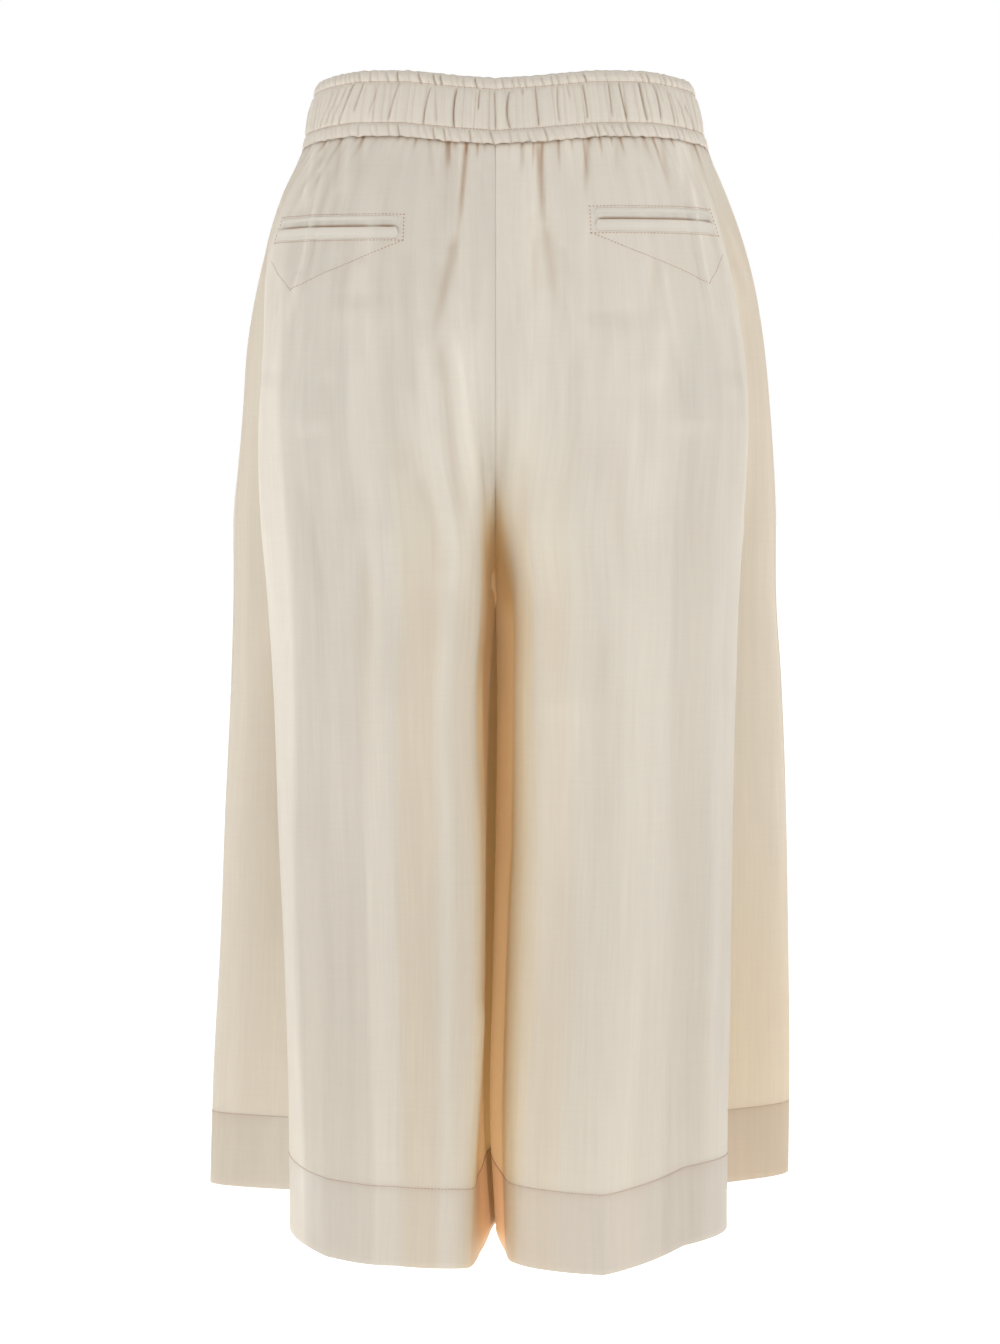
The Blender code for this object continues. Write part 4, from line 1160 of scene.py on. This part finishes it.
# Deep gathers of the wide channel across the back: x where each meets the upper and the
# lower row, how far it bows, the stretch of height that it covers, and its depth.
Gather = namedtuple("Gather", "high_x low_x bow low high depth")
BACK_GATHERS = (
    Gather(100.6, 107.1, -0.6, 10, 37, 1.5), Gather(93.4, 97.1, -0.5, 18, 37, 1.1),
    Gather(81.7, 86.4, 0, 16, 37, 0.6), Gather(67.8, 72.6, 0.4, 12, 37, 1.0),
    Gather(45.3, 48.8, 0.8, 10, 35, 1.1), Gather(42.4, 39.7, 0, 12, 34, 0.6),
    Gather(27.0, 28.0, 1.2, 10, 36, 1.5), Gather(13.4, 14.7, 0, 10, 35, 0.6),
    Gather(10.9, 11.7, 0.3, 22, 36, 1.2), Gather(0.7, -0.2, 0, 10, 36, 1.2),
    Gather(-10.0, -10.0, 2.2, 10, 35, 1.5), Gather(-19.0, -19.2, 0, 32, 37, 0.9),
    Gather(-28.1, -29.4, 0.2, 11, 37, 1.4), Gather(-43.7, -43.6, 1.0, 12, 36, 0.9),
    Gather(-50.5, -51.2, 0, 27, 37, 0.7), Gather(-61.3, -62.4, -0.3, 13, 36, 1.4),
    Gather(-79.8, -79.2, 0, 14, 37, 1.1), Gather(-87.1, -89.3, 0.4, 12, 37, 1.4),
    Gather(-101.7, -103.2, 0.6, 11, 37, 1.5), Gather(-111.6, -112.8, -0.8, 13, 37, 1.4),
    Gather(-115.2, -116.3, 0, 25, 37, 0.8), Gather(-120.6, -122.3, -0.4, 11, 34, 1.3),
    Gather(-122.6, -124.9, -0.6, 11, 33, 1.2), Gather(-127.7, -131.0, -0.6, 9, 29, 1.3),
    Gather(-132.0, -137.8, -0.8, 4, 26, 1.2), Gather(105.0, 112.5, -0.6, 11, 36, 1.0),
    Gather(110.0, 117.0, -0.4, 11, 35, 1.1), Gather(114.5, 121.0, -0.4, 10, 34, 1.1))
FRONT_GATHERS = 26
FRONT_FROM, FRONT_TO = (117.0, 5), (-135.0, 5)      # x at the back, and how far past it
FRONT_STRAY, FRONT_LEAN, FRONT_BOW, FRONT_DEPTHS = 0.35, 2.5, 1, (0.7, 1.5)
FRONT_LOW, FRONT_HIGH = (10, (0, 0, 8)), (37, (0, 0, 7))    # and how much shorter, at odds
# Small gathers of each channel: its heights, how strong they are and how far they slant.
FINE_GATHERS = ((0, ROW_LOW, 0.75, (1.5, 3.8)), (ROW_LOW, ROW_HIGH, 0.42, (-1.5, 2.0)),
                (ROW_HIGH, BAND_HEIGHT, 0.9, (1.2, 3.4)))
FINE_SPACE = (4.0, 9.0)     # from one of them to the next
FINE_DEPTHS, FINE_ODDS = (0.5, 0.9, 1.5), (0.45, 0.35, 0.2)
FINE_BOW = 0.4
GATHER_WIDTH, FINE_WIDTH = 0.62, 0.65
# A gather's two ends, past its lowest and highest height, and its section: a sharp fold
# with a swell at either side.
GATHER_STARTS, GATHER_ENDS = (-1.0, 1.5), (-2.0, 0.6)
FOLD_SHARPNESS, SWELL, SWELL_AT, SWELL_WIDTH = 1.5, 0.32, 2.6, 1.5
# Painted shade in a gather's fold, and its width against the fold's.
GATHER_SHADE, GATHER_SHADE_WIDTH = 0.42, 0.8

# Small waves of the band's two edges: how many go round, and how high they are.
BAND_WAVES = ((61, 0.22), (83, 0.20), (109, 0.16), (17, 0.12))
BASE_WAVE, TOP_WAVE = 0.9, 0.6
BASE_WAVE_ENDS, TOP_WAVE_STARTS = (0, 6), (34, BAND_HEIGHT)
# Painted shade along the two rows of stitching and a painted shadow along the band's lower edge,
# the lines' width, and the band's painted warm light.
ROW_SHADE, BASE_SHADE, LINE_WIDTH, BAND_WARMTH = 0.10, 0.40, 0.5, 0.05
# Its inner face, from the top down: below the top edge, inward, and how gathered it is.
BAND_INSIDE = ((0.45, -1.2, 0), (0.3, -2.3, 0), (-1.0, -3.0, 0.2), (-7.2, -2.5, 0.1),
               (-14, -3.1, 0.4), (-24, -3.3, 0.45), (-34.6, -2.5, 0.1), (-40, -3.0, 0.15),
               (-44, -2.6, 0.0))
INSIDE_FROM, INSIDE_SHIFT = 17, 3    # the outer row whose gathers show inside, and a shift
INSIDE_LIMITS, INSIDE_WAVE_ENDS = (-1.2, 0.4), -3
# Painted shade and painted warm light on the band's inner face.
INSIDE_PAINTED_SHADING = (0.05, 0.15, 0.0)


def waist_ring(count):
    """The seam under the band, once round from the back seam: x, y and rise."""
    at = np.arange(0, FRONT_SEAM, 0.05)
    halves = []
    for leg in LEGS:
        plan, _, rise = outline(leg._replace(folds=()), BAND_BASE, at)
        halves.append(np.column_stack((plan[:, 0] * leg.sign, plan[:, 1], rise)))
    loop = np.vstack((halves[0], halves[1][:0:-1], halves[0][:1]))
    travelled = arc_length(loop[:, :2])
    even = np.linspace(0, travelled[-1], count, endpoint=False)
    ring = np.stack([np.interp(even, travelled, loop[:, i]) for i in range(3)], axis=1)
    return ring, even, travelled[-1]


def gather_lines(ring, along, girth):
    """Each gather's place along the ring at either row, its bow, heights and depth."""
    draw = np.random.default_rng(21)
    back = np.flatnonzero(ring[:, 1] > 0)
    order = back[np.argsort(ring[back, 0])]
    unrolled = np.where(along > girth / 2, along - girth, along)

    def place(x):
        return np.interp(x, ring[order, 0], unrolled[order])

    lines = [(place(g.high_x), place(g.low_x), g.bow, g.low, g.high, g.depth, GATHER_WIDTH)
             for g in BACK_GATHERS]
    front_start = place(FRONT_FROM[0]) + FRONT_FROM[1]
    front_end = girth + place(FRONT_TO[0]) - FRONT_TO[1]
    step = (front_end - front_start) / FRONT_GATHERS
    for k in range(FRONT_GATHERS):
        middle = front_start + (k + 0.5 + draw.uniform(-FRONT_STRAY, FRONT_STRAY)) * step
        lean = draw.uniform(-FRONT_LEAN, FRONT_LEAN)
        low = FRONT_LOW[0] + draw.choice(FRONT_LOW[1])
        high = FRONT_HIGH[0] - draw.choice(FRONT_HIGH[1])
        lines.append((middle - lean, middle + lean, draw.uniform(-FRONT_BOW, FRONT_BOW),
                      low, high, draw.uniform(*FRONT_DEPTHS), GATHER_WIDTH))
    for low, high, strength, slant in FINE_GATHERS:
        middle = draw.uniform(0, 5)
        while middle < girth - 3:
            lean = draw.uniform(*slant)
            depth = strength * draw.choice(FINE_DEPTHS, p=FINE_ODDS)
            bow = draw.uniform(-FINE_BOW, FINE_BOW)
            lines.append((middle + lean / 2, middle - lean / 2, bow, low, high, depth,
                          FINE_WIDTH))
            middle += draw.uniform(*FINE_SPACE)
    return lines


def band_form(lines, along, heights, girth):
    """The band's gathers: how far they sink it, and the painted shade in their folds."""
    height = np.zeros((len(heights), len(along)))
    shade = np.zeros_like(height)
    for high_at, low_at, bow, low, high, depth, width in lines:
        share = (heights - low) / (high - low)
        middle = low_at + (high_at - low_at) * share + bow * 4 * share * (1 - share)
        off = (along[None, :] - middle[:, None] + girth / 2) % girth - girth / 2
        fade = ramp(heights - low, *GATHER_STARTS) * (1 - ramp(heights - high, *GATHER_ENDS))
        sharp = np.exp(-(np.abs(off) / width) ** FOLD_SHARPNESS)
        swell = np.exp(-((np.abs(off) - SWELL_AT) / SWELL_WIDTH) ** 2)
        height += depth * fade[:, None] * (SWELL * swell - sharp)
        dark = np.exp(-(off / (GATHER_SHADE_WIDTH * width)) ** 2)
        shade += min(1, GATHER_SHADE * depth) * fade[:, None] * dark
    return height, shade


ring, around, girth = waist_ring(BAND_COLUMNS)
ahead = np.roll(ring[:, :2], -1, axis=0) - np.roll(ring[:, :2], 1, axis=0)
outward = np.stack((-ahead[:, 1], ahead[:, 0]), axis=1)
outward /= np.linalg.norm(outward, axis=1)[:, None]
heights = np.array(BAND_ROWS)
lines = gather_lines(ring, around, girth)
sunk, shade = band_form(lines, around, heights, girth)
bulge = smooth_curve([c.height for c in BAND_PROFILE], [[c.bulge] for c in BAND_PROFILE],
                     heights)[:, 0]
draw = np.random.default_rng(5)
wave = sum(np.sin(2 * math.pi * around / girth * count + draw.uniform(0, 6)) * size
           for count, size in BAND_WAVES)
lift_low, lift_high = 1 - ramp(heights, *BASE_WAVE_ENDS), ramp(heights, *TOP_WAVE_STARTS)


def band_row(height, inward, lift):
    """One ring of the band's points."""
    shrink = 1 - BAND_LEAN * height / BAND_HEIGHT
    plan = ring[:, :2] * shrink + outward * inward[:, None]
    z = BAND_BASE + SEAM_GAP + ring[:, 2] + height * (1 - SEAM_GAP / BAND_HEIGHT)
    return np.column_stack((plan, z + lift))


rows, painted_shadings = [], []
for i, height in enumerate(heights):
    lift = BASE_WAVE * wave * lift_low[i] + TOP_WAVE * wave * lift_high[i]
    rows.append(band_row(height, bulge[i] + sunk[i], lift))
    # Painted shade of the gathers, along the rows of stitching and along the band's lower edge.
    near = [math.exp(-((height - row) / LINE_WIDTH) ** 2) for row in (ROW_LOW, ROW_HIGH, 0)]
    dark = shade[i] + ROW_SHADE * max(near[:2]) + BASE_SHADE * near[2]
    painted_shadings.append(np.column_stack((np.clip(dark, 0, 1), np.full(BAND_COLUMNS, BAND_WARMTH),
                                  np.zeros(BAND_COLUMNS))))
inside_sunk = np.clip(np.interp(around + INSIDE_SHIFT, around, sunk[INSIDE_FROM]),
                      *INSIDE_LIMITS)
for drop, inward, gathered in BAND_INSIDE:
    lift = TOP_WAVE * wave * (1 if drop > INSIDE_WAVE_ENDS else 0)
    rows.append(band_row(BAND_HEIGHT + drop, inward - gathered * inside_sunk, lift))
    painted_shadings.append(np.tile(INSIDE_PAINTED_SHADING, (BAND_COLUMNS, 1)))
points = np.array(rows)
profile = arc_length(np.column_stack((points[:, 0, 1], points[:, 0, 2])))
spots = np.stack(np.meshgrid(around, profile), axis=-1)
piece = grid_mesh("waistband_cloth", points[::-1], spots[::-1], np.array(painted_shadings)[::-1], 1,
                  closed=True)
# The band is the legs' cloth with a darker colour: painted shade that holds down how brightly its
# gathers catch the light.
band_cloth_painted_darker = cloth_material("gathered band cloth", (0.715, 0.672, 0.602), 0.25)
thick = piece.modifiers.new("cloth", "SOLIDIFY")
thick.thickness = BAND_CLOTH * MM
thick.offset = -1
piece.data.materials.append(band_cloth_painted_darker)
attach(piece, "root")
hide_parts("waistband")

paths = []
for row in (ROW_LOW, ROW_HIGH):
    i = int(np.argmin(np.abs(heights - row)))
    share = np.interp(row, heights, np.arange(len(heights))) - i
    other = i + (1 if share > 0 else -1)
    line = rows[i] + (rows[other] - rows[i]) * abs(share)
    way = np.column_stack((outward, np.zeros(BAND_COLUMNS)))
    line = line + way * THREAD_LIFT
    paths.append((np.vstack((line, line[:1])), np.vstack((way, way[:1]))))
sew("waistband_stitches", paths, 2.1, stitch=1.15, thick=0.55, seed=8)

# ---------------------------------------------------------------------------------------
# Pocket stitching: an edge row above and below the welts, a bar at either end, and two
# slanting rows that meet in a point and hold the pocket's facing.
# ---------------------------------------------------------------------------------------
POINT_SHARE, POINT_DROP = {"left": 0.74, "right": 0.76}, 31
BAR_INNER, BAR_OUTER = 0.055, 0.045    # stations past the pocket's ends
EDGE_ROW, SLANT_DROP, SLANT_IN = 1.0, 12, 0.03
ROW_POINTS = 60
paths = []
for leg in LEGS:
    side_to = np.array((leg.sign, 1, 1))
    inner, outer = POCKET_IN - BAR_INNER, POCKET_OUT + BAR_OUTER
    top, low = leg.pocket_top + EDGE_ROW, leg.pocket_low - EDGE_ROW
    point_at = POCKET_IN + POINT_SHARE[leg.name] * (POCKET_OUT - POCKET_IN)
    point = low - POINT_DROP
    corners = (((inner, top), (outer, top)), ((inner, low), (outer, low)),
               ((inner, top), (inner - 0.01, low)), ((outer, top), (outer, low)),
               ((inner, low), (point_at, point)),
               ((point_at, point), (outer - SLANT_IN, low - SLANT_DROP)))
    for (from_at, from_z), (to_at, to_z) in corners:
        share = np.linspace(0, 1, ROW_POINTS)
        at, z = from_at + (to_at - from_at) * share, from_z + (to_z - from_z) * share
        place, way = on_skin(f"back_{leg.name}", at, z)
        paths.append(((place + way * THREAD_LIFT) * side_to, way * side_to))
sew("pocket_stitches", paths, 2.4, stitch=1.4, thick=0.62, seed=13)

# ---------------------------------------------------------------------------------------
# Studio: a pale floor well below the hanging shorts, white all round, and soft lights.
# ---------------------------------------------------------------------------------------
SURROUND = 0.47        # brightness of the white surround as it lights the shorts
FLOOR_Z = -1250.0
FLOOR_REACH = 30       # metres from the middle to each side
world = bpy.data.worlds.new("studio")
world.use_nodes = True
tree = world.node_tree
shown = tree.nodes["Background"]
set_inputs(tree, shown, Color=(1, 1, 1, 1), Strength=1.0)
lit = new_node(tree, "ShaderNodeBackground", Color=(1, 1, 1, 1), Strength=SURROUND)
ray = new_node(tree, "ShaderNodeLightPath")
mix = new_node(tree, "ShaderNodeMixShader", Fac=ray.outputs["Is Camera Ray"])
tree.links.new(lit.outputs[0], mix.inputs[1])
tree.links.new(shown.outputs[0], mix.inputs[2])
tree.links.new(mix.outputs[0], tree.nodes["World Output"].inputs["Surface"])
bpy.context.scene.world = world
bpy.context.scene.view_settings.view_transform = "Standard"


def soft_light(name, place, size, power, colour, target=(0, 0, -400)):
    """A large soft light that faces the shorts."""
    light = bpy.data.lights.new(name, "AREA")
    light.shape = "RECTANGLE"
    light.size, light.size_y = [value * MM for value in size]
    light.energy = power
    light.color = colour
    lamp = bpy.data.objects.new(name, light)
    lamp.location = [value * MM for value in place]
    aim = np.array(target, float) - np.array(place, float)
    pitch = math.atan2(math.hypot(aim[0], aim[1]), -aim[2])
    lamp.rotation_euler = (pitch, 0, math.atan2(aim[1], aim[0]) - math.pi / 2)
    bpy.context.scene.collection.objects.link(lamp)


soft_light("key", (-2200, 2400, 700), (1500, 2200), 23, (1.0, 0.99, 0.97))
soft_light("fill", (2300, 2300, 500), (1500, 2200), 20, (1.0, 0.985, 0.965))
soft_light("left side", (2700, 100, 100), (1200, 2200), 16, (1.0, 0.99, 0.97))
soft_light("right side", (-2700, 100, 100), (1200, 2200), 16, (1.0, 0.99, 0.97))
soft_light("behind", (0, -2400, -300), (2600, 2400), 52, (1.0, 0.985, 0.955))
soft_light("top", (0, 300, 1900), (1800, 1400), 5, (1.0, 1.0, 1.0))

floor_mesh = bpy.data.meshes.new("floor")
floor_corners = [(x * FLOOR_REACH, y * FLOOR_REACH, FLOOR_Z * MM)
                 for x, y in ((-1, -1), (1, -1), (1, 1), (-1, 1))]
floor_mesh.from_pydata(floor_corners, [], [(0, 1, 2, 3)])
floor = bpy.data.objects.new("floor", floor_mesh)
bpy.context.scene.collection.objects.link(floor)
pale = bpy.data.materials.new("pale floor")
pale.use_nodes = True
set_inputs(pale.node_tree, pale.node_tree.nodes["Principled BSDF"],
           Base_Color=(0.9, 0.9, 0.9, 1), Emission_Color=(1, 1, 1, 1), Emission_Strength=0.75)
floor_mesh.materials.append(pale)
floor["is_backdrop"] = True

low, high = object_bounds()
